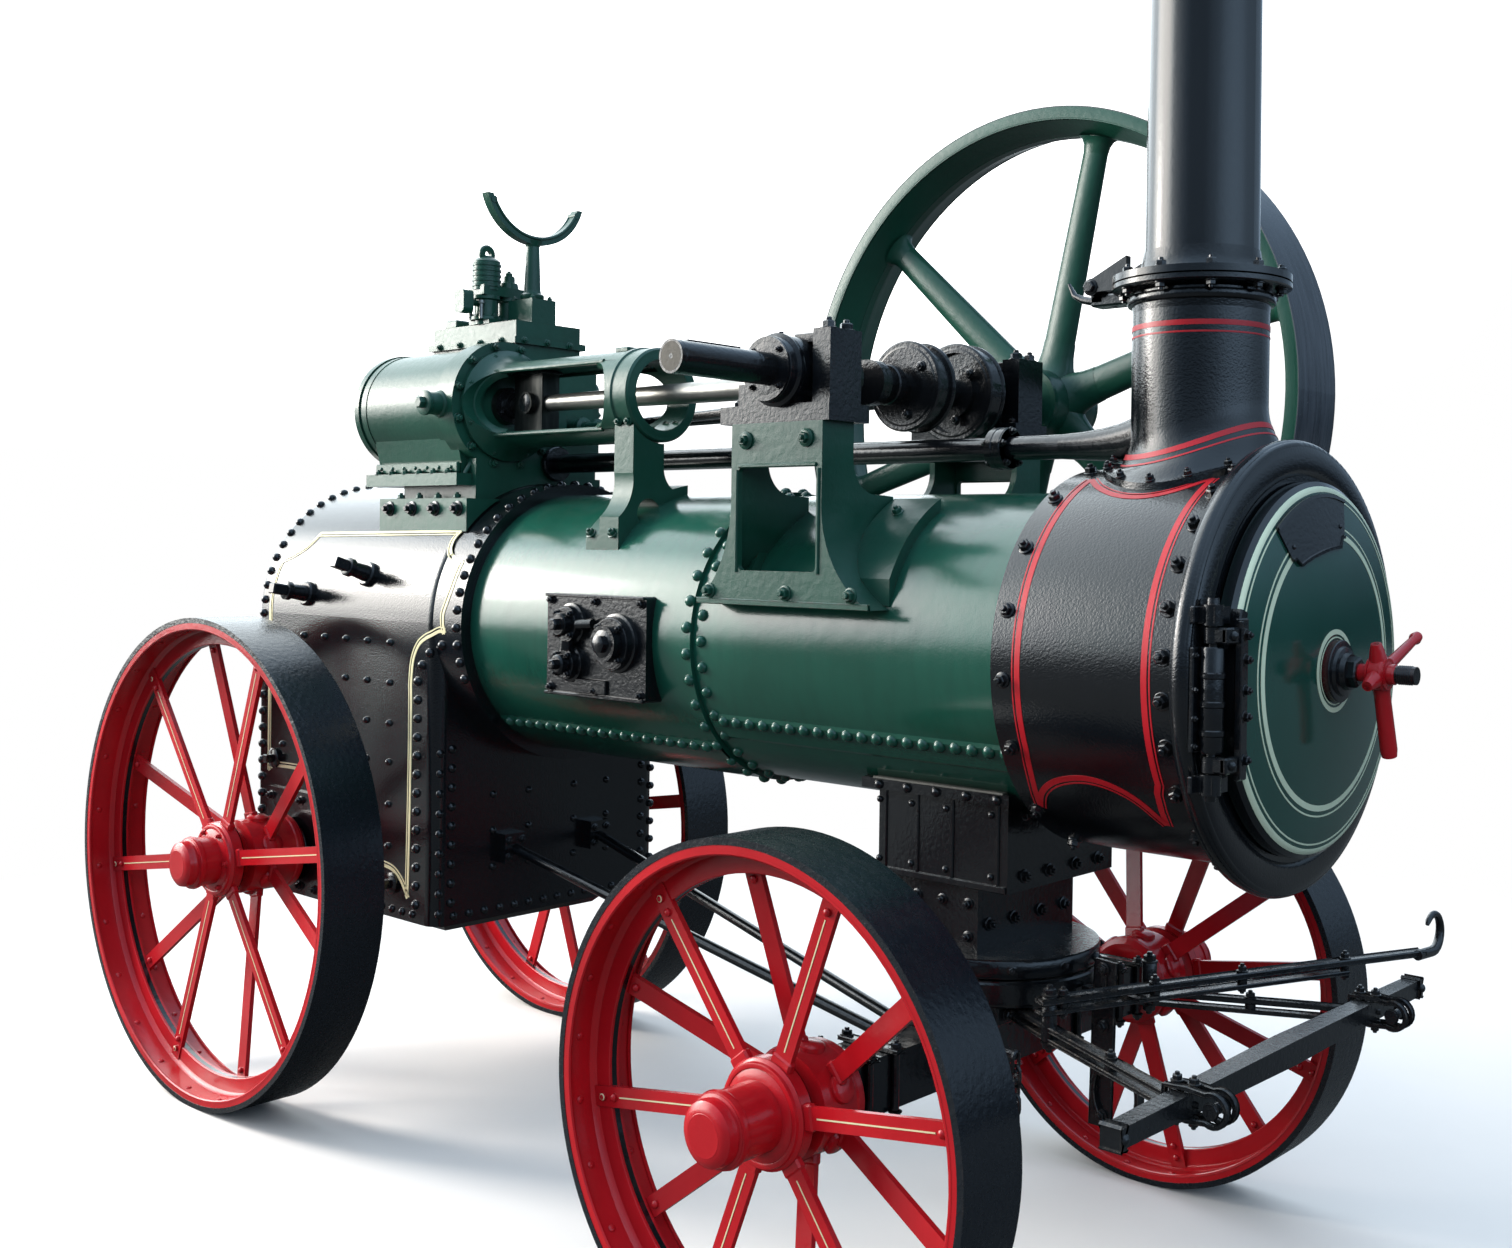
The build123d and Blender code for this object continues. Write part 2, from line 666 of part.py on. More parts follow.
# Crankshaft brackets: open boxes with flared walls and a window, then the bearings
for bname, bs in (("near", -1), ("far", 1)):
    with BuildPart() as bracket:
        with BuildSketch(Plane.XZ):
            with BuildLine():
                Polyline((shaft_x - 250, boiler_z - 60), (shaft_x - 250, boiler_z + 92))
                ThreePointArc(
                    (shaft_x - 250, boiler_z + 92), (shaft_x - 176, boiler_z + 186),
                    (shaft_x - 146, boiler_z + 312)
                )
                Polyline(
                    (shaft_x - 146, boiler_z + 312), (shaft_x - 146, sole_z),
                    (shaft_x + 126, sole_z), (shaft_x + 126, boiler_z + 312)
                )
                ThreePointArc(
                    (shaft_x + 126, boiler_z + 312), (shaft_x + 160, boiler_z + 186),
                    (shaft_x + 262, boiler_z + 92)
                )
                Polyline(
                    (shaft_x + 262, boiler_z + 92), (shaft_x + 262, boiler_z - 60),
                    (shaft_x - 250, boiler_z - 60)
                )
            make_face()
        extrude(amount=450, both=True)
        with BuildSketch(Plane.YZ.offset(shaft_x - 300)):
            with BuildLine():
                Polyline(
                    (bs * 165, boiler_z + 92), (bs * 400, boiler_z + 92), (bs * 400, sole_z),
                    (bs * 300, sole_z), (bs * 300, boiler_z + 410)
                )
                ThreePointArc(
                    (bs * 300, boiler_z + 410), (bs * 276, boiler_z + 358),
                    (bs * 215, boiler_z + 338)
                )
                Polyline(
                    (bs * 215, boiler_z + 338), (bs * 165, boiler_z + 336),
                    (bs * 165, boiler_z + 92)
                )
            make_face()
        extrude(amount=600, mode=Mode.INTERSECT)
        with BuildSketch(Plane.XZ.offset(-bs * 190 - 196)):
            with BuildLine():
                Polyline((shaft_x - 236, boiler_z - 90), (shaft_x - 236, boiler_z + 88))
                ThreePointArc(
                    (shaft_x - 236, boiler_z + 88), (shaft_x - 161, boiler_z + 182),
                    (shaft_x - 130, boiler_z + 312)
                )
                Polyline(
                    (shaft_x - 130, boiler_z + 312), (shaft_x - 130, sole_z - 40),
                    (shaft_x + 110, sole_z - 40), (shaft_x + 110, boiler_z + 312)
                )
                ThreePointArc(
                    (shaft_x + 110, boiler_z + 312), (shaft_x + 145, boiler_z + 182),
                    (shaft_x + 246, boiler_z + 88)
                )
                Polyline(
                    (shaft_x + 246, boiler_z + 88), (shaft_x + 246, boiler_z - 90),
                    (shaft_x - 236, boiler_z - 90)
                )
            make_face()
        extrude(amount=392, mode=Mode.SUBTRACT)
        with BuildSketch(Plane.XZ.offset(-bs * 400 - 20)):
            with Locations((shaft_x - 6, boiler_z + 282)):
                RectangleRounded(236, 228, 14)
        extrude(amount=40, mode=Mode.SUBTRACT)
        for px0, px1 in ((-250.0, -150.0), (130.0, 262.0)):
            with BuildSketch(Plane.YZ.offset(shaft_x + px0)):
                with Locations((0, boiler_z)):
                    Circle(strake_r2 + 24)
                with Locations((bs * 250, boiler_z + 250)):
                    Rectangle(170, 300, mode=Mode.INTERSECT)
            extrude(amount=px1 - px0)
        with BuildSketch(Plane.YZ.offset(shaft_x - 300)):
            with Locations((0, boiler_z)):
                Circle(strake_r2)
        extrude(amount=600, mode=Mode.SUBTRACT)
    bracket.part.label = "crank_bracket_" + bname
    export_step(bracket.part, "parts/crank_bracket_" + bname + ".step")
    with BuildPart() as bearing:
        with BuildSketch(Plane.XY.offset(sole_z)):
            with Locations((shaft_x - 20, bs * bearing_y)):
                Rectangle(327, 130)
        extrude(amount=39)
        with BuildSketch(Plane.XY.offset(sole_z + 39)):
            with Locations((shaft_x - 39, bs * bearing_y)):
                Rectangle(186, 120)
        extrude(amount=48)
        with BuildSketch(Plane.XZ.offset(-bs * 345 - 60)):
            with Locations((shaft_x, shaft_z)):
                Circle(77)
        extrude(amount=120)
        with BuildSketch(Plane.XZ.offset(-bs * (bearing_face + 285) / 2 - (bearing_face - 285) / 2)):
            with Locations((shaft_x, shaft_z)):
                Circle(69)
        extrude(amount=bearing_face - 285)
        with BuildSketch(Plane.XY.offset(sole_z + 39)):
            with Locations((shaft_x + 111, bs * (bearing_y + 5))):
                Rectangle(50, 100)
        extrude(amount=158)
        with BuildSketch(Plane.XY.offset(shaft_z + 62)):
            with Locations((shaft_x + 56, bs * bearing_y)):
                Rectangle(152, 60)
        extrude(amount=15)
        with BuildSketch(Plane.XZ.offset(-bs * bearing_y - 200)):
            with Locations((shaft_x, shaft_z)):
                Circle(shaft_r + run_gap)
        extrude(amount=400, mode=Mode.SUBTRACT)
    bearing.part.label = "crank_bearing_" + bname
    export_step(bearing.part, "parts/crank_bearing_" + bname + ".step")

# Crankshaft with its cranked middle, an eccentric and a flanged sheave
pin_x = shaft_x - crank_throw
with BuildPart() as crankshaft:
    with BuildSketch(Plane.XZ.offset(-shaft_y1)):
        with Locations((shaft_x, shaft_z)):
            Circle(shaft_r)
    extrude(amount=shaft_y1 - crank_y - web_gap / 2)
    with BuildSketch(Plane.XZ.offset(-crank_y + web_gap / 2)):
        with Locations((shaft_x, shaft_z)):
            Circle(shaft_r)
    extrude(amount=crank_y - web_gap / 2 - pulley_seat_y)
    with BuildSketch(Plane.XZ.offset(-pulley_seat_y)):
        with Locations((shaft_x, shaft_z)):
            Circle(pulley_seat_r)
    extrude(amount=pulley_seat_y - shaft_y0)
    for wy in (crank_y - web_gap / 2 - web_t, crank_y + web_gap / 2):
        with BuildSketch(Plane.XZ.offset(-wy - web_t)):
            with Locations(((shaft_x + pin_x) / 2, shaft_z)):
                SlotOverall(crank_throw + 104, 104)
        extrude(amount=web_t)
    with BuildSketch(Plane.XZ.offset(-crank_y - web_gap / 2)):
        with Locations((pin_x, shaft_z)):
            Circle(shaft_r)
    extrude(amount=web_gap)
    for sy0, sy1, sr in ((0.0, 66.0, 96.0), (0.0, 12.0, 102.0), (54.0, 66.0, 102.0)):
        with BuildSketch(Plane.XZ.offset(-sy1)):
            with Locations((shaft_x + 14, shaft_z)):
                Circle(sr)
        extrude(amount=sy1 - sy0)
    with BuildSketch(Plane.XZ.offset(-248)):
        with Locations((shaft_x + 10, shaft_z)):
            Circle(116)
    extrude(amount=58)
    with BuildSketch(Plane.XZ.offset(-204)):
        with Locations((shaft_x + 10, shaft_z)):
            Circle(98)
            Circle(60, mode=Mode.SUBTRACT)
    extrude(amount=20, mode=Mode.SUBTRACT)

# Big end in two halves round the crank pin, with its strap bolts' lugs
with BuildPart() as big_end:
    with BuildSketch(Plane.XZ.offset(-crank_y - web_gap / 2 + 3)):
        with Locations((pin_x - 8, shaft_z)):
            RectangleRounded(118, 112, 20)
    extrude(amount=web_gap - 6)
    with BuildSketch(Plane.XZ.offset(-crank_y - web_gap / 2 + 2)):
        with Locations((pin_x, shaft_z)):
            Circle(shaft_r + run_gap)
    extrude(amount=web_gap - 4, mode=Mode.SUBTRACT)

# Flywheel rim, then hub with six arms
with BuildPart() as flywheel_rim:
    with BuildSketch(Plane.XZ.offset(-fly_y0 - fly_w)):
        with Locations((shaft_x, shaft_z)):
            Circle(fly_r)
            Circle(fly_r - 34, mode=Mode.SUBTRACT)
    extrude(amount=fly_w)

with BuildPart() as flywheel_arms:
    with BuildSketch(Plane.XZ.offset(-fly_y0 - fly_w / 2 - 12)):
        with Locations((shaft_x, shaft_z)):
            Circle(fly_r - 34)
            Circle(fly_r - 62, mode=Mode.SUBTRACT)
    extrude(amount=24)
    with BuildSketch(Plane.XZ.offset(-fly_y0 - fly_w / 2 - 100)):
        with Locations((shaft_x, shaft_z)):
            Circle(92)
    extrude(amount=200)
    for i in range(6):
        ang = radians(78 + 60 * i)
        out = (cos(ang), 0, sin(ang))
        inner_end = (shaft_x + 60 * cos(ang), fly_y0 + fly_w / 2, shaft_z + 60 * sin(ang))
        rim_at = fly_r - 50
        rim_end = (shaft_x + rim_at * cos(ang), fly_y0 + fly_w / 2, shaft_z + rim_at * sin(ang))
        with BuildSketch(Plane(origin=inner_end, x_dir=(0, 1, 0), z_dir=out)):
            Ellipse(26, 48)
        with BuildSketch(Plane(origin=rim_end, x_dir=(0, 1, 0), z_dir=out)):
            Ellipse(20, 35)
        loft()
    with BuildSketch(Plane.XZ.offset(-fly_y0 - fly_w - 60)):
        with Locations((shaft_x, shaft_z)):
            Circle(shaft_r)
    extrude(amount=fly_w + 120, mode=Mode.SUBTRACT)

# Exhaust pipe along the boiler top
with BuildPart() as exhaust_pipe:
    with BuildSketch(Plane.YZ.offset(cyl_x1)):
        with Locations((exhaust_y, exhaust_z)):
            Circle(27)
    extrude(amount=chim_x - 190 - cyl_x1)
    with BuildSketch(Plane.YZ.offset(rear_axle_x + 2235)):
        with Locations((exhaust_y, exhaust_z)):
            Circle(46)
    extrude(amount=44)

# Feed pad on the side of the barrel with its valve bodies
pad_x = rear_axle_x + 1330.0
pad_z = boiler_z - 28.0
pad_y = -strake_r1 - 19.0
with BuildPart() as feed_pad:
    with BuildSketch(Plane.XZ.offset(-pad_y - 75)):
        with Locations((pad_x, pad_z)):
            RectangleRounded(370, 251, 8)
    extrude(amount=75)
    with BuildSketch(Plane.XZ.offset(-pad_y)):
        with Locations((pad_x + 85, pad_z + 12)):
            Circle(64)
        with Locations((pad_x - 85, pad_z + 52)):
            Circle(44)
        with Locations((pad_x - 88, pad_z - 46)):
            Circle(38)
    extrude(amount=26)
    with BuildSketch(Plane.XZ.offset(-pad_y + 26)):
        with Locations((pad_x + 85, pad_z + 12)):
            Circle(44)
        with Locations((pad_x - 85, pad_z + 52)):
            Circle(26)
    extrude(amount=24)
    with BuildSketch(Plane.YZ.offset(pad_x - 250)):
        with Locations((0, boiler_z)):
            Circle(strake_r1)
    extrude(amount=500, mode=Mode.SUBTRACT)

# Front pedestal under the barrel: strip, body and a shorter lower body
with BuildPart() as pedestal:
    with BuildSketch(Plane.XY.offset(885)):
        with Locations((front_axle_x, 0)):
            Rectangle(350, 400)
    extrude(amount=225)
    with BuildSketch(Plane.XY.offset(740)):
        with Locations((front_axle_x - 45, 0)):
            Rectangle(260, 360)
    extrude(amount=150)
    with BuildSketch(Plane.XY.offset(1070)):
        with Locations((front_axle_x - 10, 0)):
            Rectangle(400, 440)
    extrude(amount=24)
    with BuildSketch(Plane.YZ.offset(front_axle_x - 300)):
        with Locations((0, boiler_z)):
            Circle(strake_r2)
    extrude(amount=600, mode=Mode.SUBTRACT)

with BuildPart() as turntable_top:
    with BuildSketch(Plane.XY.offset(700)):
        with Locations((front_axle_x, 0)):
            Circle(230)
    extrude(amount=40)
    with BuildSketch(Plane.XY.offset(380)):
        with Locations((front_axle_x, 0)):
            Circle(24)
    extrude(amount=330)

# Stays from the king pin to the firebox
with BuildPart() as stay_rods:
    for sy in (-150.0, 150.0):
        start = Vector(front_axle_x - 10, sy * 0.12, 405)
        end = Vector(firebox_x1 + 20, sy, 750)
        with BuildSketch(Plane(origin=start, z_dir=end - start)):
            Circle(14)
        extrude(amount=(end - start).length)
        with BuildSketch(Plane.YZ.offset(firebox_x1)):
            with Locations((sy, 750)):
                Rectangle(70, 80)
        extrude(amount=36)
    with BuildSketch(Plane.XY.offset(388)):
        with Locations((front_axle_x, 0)):
            Circle(60)
    extrude(amount=34)
    with BuildSketch(Plane.XY.offset(370)):
        with Locations((front_axle_x, 0)):
            Circle(24)
    extrude(amount=70, mode=Mode.SUBTRACT)

# Fore-carriage: lower ring, bolster, axle
with BuildPart() as fore_carriage:
    with BuildSketch(Plane.XY.offset(640)):
        with Locations((front_axle_x, 0)):
            Circle(230)
    extrude(amount=55)
    with BuildSketch(Plane.XY.offset(470)):
        with Locations((front_axle_x, 0)):
            Rectangle(120, 1060)
    extrude(amount=115)
    with BuildSketch(Plane.XY.offset(580)):
        with Locations((front_axle_x, 0)):
            Rectangle(180, 420)
    extrude(amount=64)
    with BuildSketch(Plane.XZ.offset(-front_wheel_face)):
        with Locations((front_axle_x, front_wheel_r)):
            Circle(axle_r)
    extrude(amount=2 * front_wheel_face)
    with BuildSketch(Plane.XY.offset(460)):
        with Locations((front_axle_x, 0)):
            Circle(24 + run_gap)
    extrude(amount=250, mode=Mode.SUBTRACT)

# Draw gear: flat draught bars, the cross bar with two pulling eyes, a scroll hook
bar_x = rear_axle_x + 2975.0
bar_z = 650.0
bar_half = 630.0
eye_r = 20.0
eye_x = bar_x + 62.0
hook_x = bar_x - 20.0
hook_y = 790.0
plate_x = front_axle_x + 90.0
with BuildPart() as draw_gear:
    with BuildSketch(Plane.YZ.offset(plate_x)):
        with Locations((0, 616)):
            Rectangle(340, 44)
    extrude(amount=44)
    with BuildSketch(Plane.XY.offset(bar_z - 50)):
        with BuildLine():
            Polyline((plate_x + 20, 100), (plate_x + 200, 190), (bar_x, 385))
            offset(amount=8)
        make_face()
        with BuildLine():
            Polyline((plate_x + 20, -100), (plate_x + 200, -190), (bar_x, -385))
            offset(amount=8)
        make_face()
    extrude(amount=34)
    with BuildSketch(Plane.XY.offset(bar_z + 8)):
        with BuildLine():
            ThreePointArc((plate_x + 180, -215), (plate_x + 340, 160), (hook_x, hook_y - 60))
            offset(amount=8)
        make_face()
        with BuildLine():
            Line((plate_x + 158, 0), (plate_x + 290, -4))
            offset(amount=8)
        make_face()
    extrude(amount=34)
    for post_x, post_y in ((plate_x + 187, -188.0), (plate_x + 195, 188.0)):
        with BuildSketch(Plane.XY.offset(bar_z - 50)):
            with Locations((post_x, post_y)):
                Circle(17)
        extrude(amount=94)
    with BuildSketch(Plane.XZ.offset(-bar_half)):
        with Locations((bar_x, bar_z - 20)):
            RectangleRounded(60, 58, 12)
    extrude(amount=2 * bar_half)
    for ey in (-385.0, 385.0):
        with BuildSketch(Plane.XZ.offset(-ey - 25)):
            with Locations((eye_x, bar_z - 20)):
                Circle(36)
            with Locations((bar_x + 10, bar_z - 20)):
                Rectangle(104, 72)
            with Locations((eye_x, bar_z - 20)):
                Circle(eye_r, mode=Mode.SUBTRACT)
        extrude(amount=50)
    with BuildSketch(Plane.XY.offset(bar_z - 270)):
        with Locations((plate_x + 200, -2)):
            Rectangle(58, 14)
    extrude(amount=350)
    with BuildSketch(Plane.XZ.offset(-4)):
        with Locations((plate_x + 222, bar_z - 262)):
            Circle(52)
            Circle(40, mode=Mode.SUBTRACT)
    extrude(amount=-26)
    with BuildSketch(Plane(origin=(hook_x, hook_y - 70, bar_z + 25), x_dir=(1, 0, 0), z_dir=(0, 1, 0))):
        Circle(14)
    extrude(amount=70)
    with BuildSketch(Plane(origin=(hook_x, hook_y, bar_z + 25), x_dir=(1, 0, 0), z_dir=(0, 1, 0))):
        Circle(14)
    revolve(axis=Axis((hook_x, hook_y, bar_z + 69), (1, 0, 0)), revolution_arc=235)

# Rear axle with its side plates
with BuildPart() as rear_axle:
    with BuildSketch(Plane.XZ.offset(-rear_wheel_face + 6)):
        with Locations((rear_axle_x, rear_wheel_r)):
            Circle(axle_r)
    extrude(amount=2 * rear_wheel_face - 12)
    for ys in (-1, 1):
        with BuildSketch(Plane.XZ.offset(-ys * (firebox_w / 2 + 7) - 7)):
            with Locations((rear_axle_x, rear_wheel_r + 20)):
                Rectangle(300, 300)
        extrude(amount=14)
    with BuildSketch(Plane.XZ.offset(-firebox_w / 2)):
        with Locations((rear_axle_x, rear_wheel_r)):
            Circle(axle_r + 5)
    extrude(amount=firebox_w, mode=Mode.SUBTRACT)

# Wheels: name, axle place, side, radius, outer face, tyre width, hub nose, hub tail
rear_sizes = (rear_wheel_r, rear_wheel_face, rear_tyre_w, rear_hub_nose, rear_hub_tail)
front_sizes = (front_wheel_r, front_wheel_face, front_tyre_w, front_hub_nose, front_hub_tail)
wheel_table = [
    ("rear_right", rear_axle_x, -1) + rear_sizes,
    ("rear_left", rear_axle_x, 1) + rear_sizes,
    ("front_right", front_axle_x, -1) + front_sizes,
    ("front_left", front_axle_x, 1) + front_sizes,
]
for wname, wx, ws, wr, face, tw, nose, tail in wheel_table:
    outer = Plane(origin=(wx, ws * face, wr), x_dir=(1, 0, 0), z_dir=(0, ws, 0))
    mid = tw / 2
    flange = mid - 6
    with BuildPart() as tyre:
        with BuildSketch(outer):
            Circle(wr)
            Circle(wr - tyre_t, mode=Mode.SUBTRACT)
        extrude(amount=-tw)
    tyre.part.label = "tyre_" + wname
    export_step(tyre.part, "parts/tyre_" + wname + ".step")
    with BuildPart() as wheel:
        with BuildSketch(outer.offset(-1)):
            Circle(wr - tyre_t)
            Circle(wr - tyre_t - 13, mode=Mode.SUBTRACT)
        extrude(amount=2 - tw)
        with BuildSketch(outer.offset(-mid + 6)):
            Circle(wr - tyre_t - 10)
            Circle(wr - tyre_t - 62, mode=Mode.SUBTRACT)
        extrude(amount=-12)
        half = Plane(origin=(wx, ws * face, wr), x_dir=(0, 0, 1), z_dir=(-ws, 0, 0))
        with BuildSketch(half):
            with BuildLine():
                Polyline(
                    (0, nose), (40, nose), (58, nose - 10), (63, nose - 28), (63, nose - 32),
                    (68, nose - 34), (68, -flange + 14), (106, -flange + 12), (106, -flange - 14),
                    (76, -flange - 18), (76, -flange - 44), (104, -flange - 50), (104, -tail + 12),
                    (92, -tail), (0, -tail), (0, nose)
                )
            make_face()
        revolve(axis=Axis((wx, 0, wr), (0, 1, 0)))
        for i in range(12):
            ang = radians(9 + 30 * i)
            side_in = i % 2
            a0 = -flange - 104 if side_in else -flange
            a1 = -mid - 11 if side_in else -mid + 11
            r0 = 85.0
            r1 = wr - tyre_t - 16
            p0 = Vector(wx + r0 * cos(ang), ws * (face + a0), wr + r0 * sin(ang))
            p1 = Vector(wx + r1 * cos(ang), ws * (face + a1), wr + r1 * sin(ang))
            tangent = Vector(-sin(ang), 0, cos(ang))
            with BuildSketch(Plane(origin=p0, x_dir=tangent, z_dir=p1 - p0)):
                Rectangle(42, 12)
            extrude(amount=(p1 - p0).length)
        with BuildSketch(outer.offset(-tail - 5)):
            Circle(axle_r + run_gap)
        extrude(amount=tail + 6, mode=Mode.SUBTRACT)
    wheel.part.label = "wheel_" + wname
    export_step(wheel.part, "parts/wheel_" + wname + ".step")

# Gauges on the back plate
with BuildPart() as water_gauge:
    with BuildSketch(Plane.XY.offset(boiler_z - 76)):
        with Locations((firebox_x0 - 60, -200)):
            Circle(12)
    extrude(amount=260)
    for gz in (boiler_z - 66, boiler_z + 174):
        with BuildSketch(Plane.YZ.offset(firebox_x0 - 80)):
            with Locations((-200, gz)):
                Circle(20)
        extrude(amount=80)

with BuildPart() as pressure_gauge:
    with BuildSketch(Plane.YZ.offset(firebox_x0 - 70)):
        with Locations((60, boiler_z + firebox_w / 2 - 166)):
            Circle(75)
    extrude(amount=40)
    with BuildSketch(Plane.YZ.offset(firebox_x0 - 40)):
        with Locations((60, boiler_z + firebox_w / 2 - 166)):
            Circle(16)
    extrude(amount=40)

named = [
    (boiler_barrel, "boiler_barrel"),
    (firebox, "firebox"),
    (ash_pan, "ash_pan"),
    (firehole_door, "firehole_door"),
    (firehole_hinge, "firehole_hinge"),
    (smokebox, "smokebox"),
    (smokebox_door, "smokebox_door"),
    (door_spindle, "door_spindle"),
    (door_hinge, "door_hinge"),
    (door_straps, "door_straps"),
    (chimney_base, "chimney_base"),
    (chimney, "chimney"),
    (chimney_crutch, "chimney_crutch"),
    (cylinder_block, "cylinder_block"),
    (steam_chest, "steam_chest"),
    (dome_chest, "dome_chest"),
    (safety_valves, "safety_valves"),
    (trunk_guide, "trunk_guide"),
    (guide_bracket, "guide_bracket"),
    (connecting_rod, "connecting_rod"),
    (crankshaft, "crankshaft"),
    (big_end, "big_end"),
    (flywheel_rim, "flywheel_rim"),
    (flywheel_arms, "flywheel_arms"),
    (exhaust_pipe, "exhaust_pipe"),
    (feed_pad, "feed_pad"),
    (pedestal, "pedestal"),
    (turntable_top, "turntable_top"),
    (stay_rods, "stay_rods"),
    (fore_carriage, "fore_carriage"),
    (draw_gear, "draw_gear"),
    (rear_axle, "rear_axle"),
    (water_gauge, "water_gauge"),
    (pressure_gauge, "pressure_gauge"),
]
for piece, label in named:
    piece.part.label = label
    export_step(piece.part, "parts/" + label + ".step")
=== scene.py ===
import json
import math
import bpy
from mathutils import Matrix, Vector


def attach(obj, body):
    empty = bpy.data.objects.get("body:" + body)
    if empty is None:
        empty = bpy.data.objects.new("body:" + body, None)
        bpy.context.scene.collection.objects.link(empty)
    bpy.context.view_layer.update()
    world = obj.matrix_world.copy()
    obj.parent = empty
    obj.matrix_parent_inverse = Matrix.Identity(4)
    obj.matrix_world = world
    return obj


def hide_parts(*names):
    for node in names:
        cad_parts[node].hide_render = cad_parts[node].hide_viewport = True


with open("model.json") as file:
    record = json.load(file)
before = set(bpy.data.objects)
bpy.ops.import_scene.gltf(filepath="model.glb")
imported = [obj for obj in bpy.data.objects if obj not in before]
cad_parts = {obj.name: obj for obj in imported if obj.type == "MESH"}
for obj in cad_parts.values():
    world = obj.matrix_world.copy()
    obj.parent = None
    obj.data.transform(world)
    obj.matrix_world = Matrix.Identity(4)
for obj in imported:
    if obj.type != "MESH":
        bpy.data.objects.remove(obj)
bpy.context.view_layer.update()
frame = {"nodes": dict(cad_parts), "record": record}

sin, cos, pi, rad = math.sin, math.cos, math.pi, math.radians
X, Y, Z = Vector((1, 0, 0)), Vector((0, 1, 0)), Vector((0, 0, 1))
SIDES = [(side, Vector((0, side, 0))) for side in (-1, 1)]

# Places in metres, x counted from the rear axle: frame offset, boiler axis, radii of its shells
AX = -1.2695
BZ = 1.376
R_BOX = 0.390
R_RING = 0.386
R1 = 0.356
R2 = 0.346
R_SMOKE = 0.394
R_SEAT = 0.3975
# Crankshaft and crank throw, front axle, chimney, hinge pin of the smokebox door
SX, SZ = 1.966, 1.977
THROW = 0.150
FRONT_X = 2.270
CHIM_X = 2.762
PIN_X, PIN_Y = 3.021, -0.400
# Plates: firebox rear and throat, rivet circle of the rear, outer face of the crank brackets
REAR_X = -0.235
THROAT_X = 0.690
R_REAR = 0.345
PLATE_Y = 0.400
# Cylinder ends and axis, trunk guide, chimney rest
CX0, CX1, CY = 0.170, 0.660, -0.150
R_GUIDE = 0.1195
REST_X, REST_Z, REST_R = 0.570, 2.645, 0.161
# Angle in degrees from which an edge is drawn sharp, and how deep painted lines sink in
SHARP = 35
SINK = -0.0012


def at(x, y, z):
    return Vector((x + AX, y, z))


def shell(x, a, r, lift=0.0):
    """Point and normal on a boiler shell; the angle runs from the top towards the near side."""
    n = Vector((0.0, -sin(rad(a)), cos(rad(a))))
    return at(x, 0, BZ) + n * (r + lift), n


def basis(n):
    n = n.normalized()
    u = n.cross(Z if abs(n.z) < 0.9 else X).normalized()
    return u, n.cross(u).normalized(), n


def directions(pts, closed=False):
    """Direction of a run at each of its points."""
    n = len(pts)
    out = []
    for i in range(n):
        a = pts[(i - 1) % n] if closed or i else pts[i]
        b = pts[(i + 1) % n] if closed or i < n - 1 else pts[i]
        out.append((b - a).normalized())
    return out


def circle(count, first, r):
    """Number and two coordinates of each point on a circle, from an angle in degrees."""
    for k in range(count):
        a = rad(first + 360 / count * k)
        yield k, r * cos(a), r * sin(a)


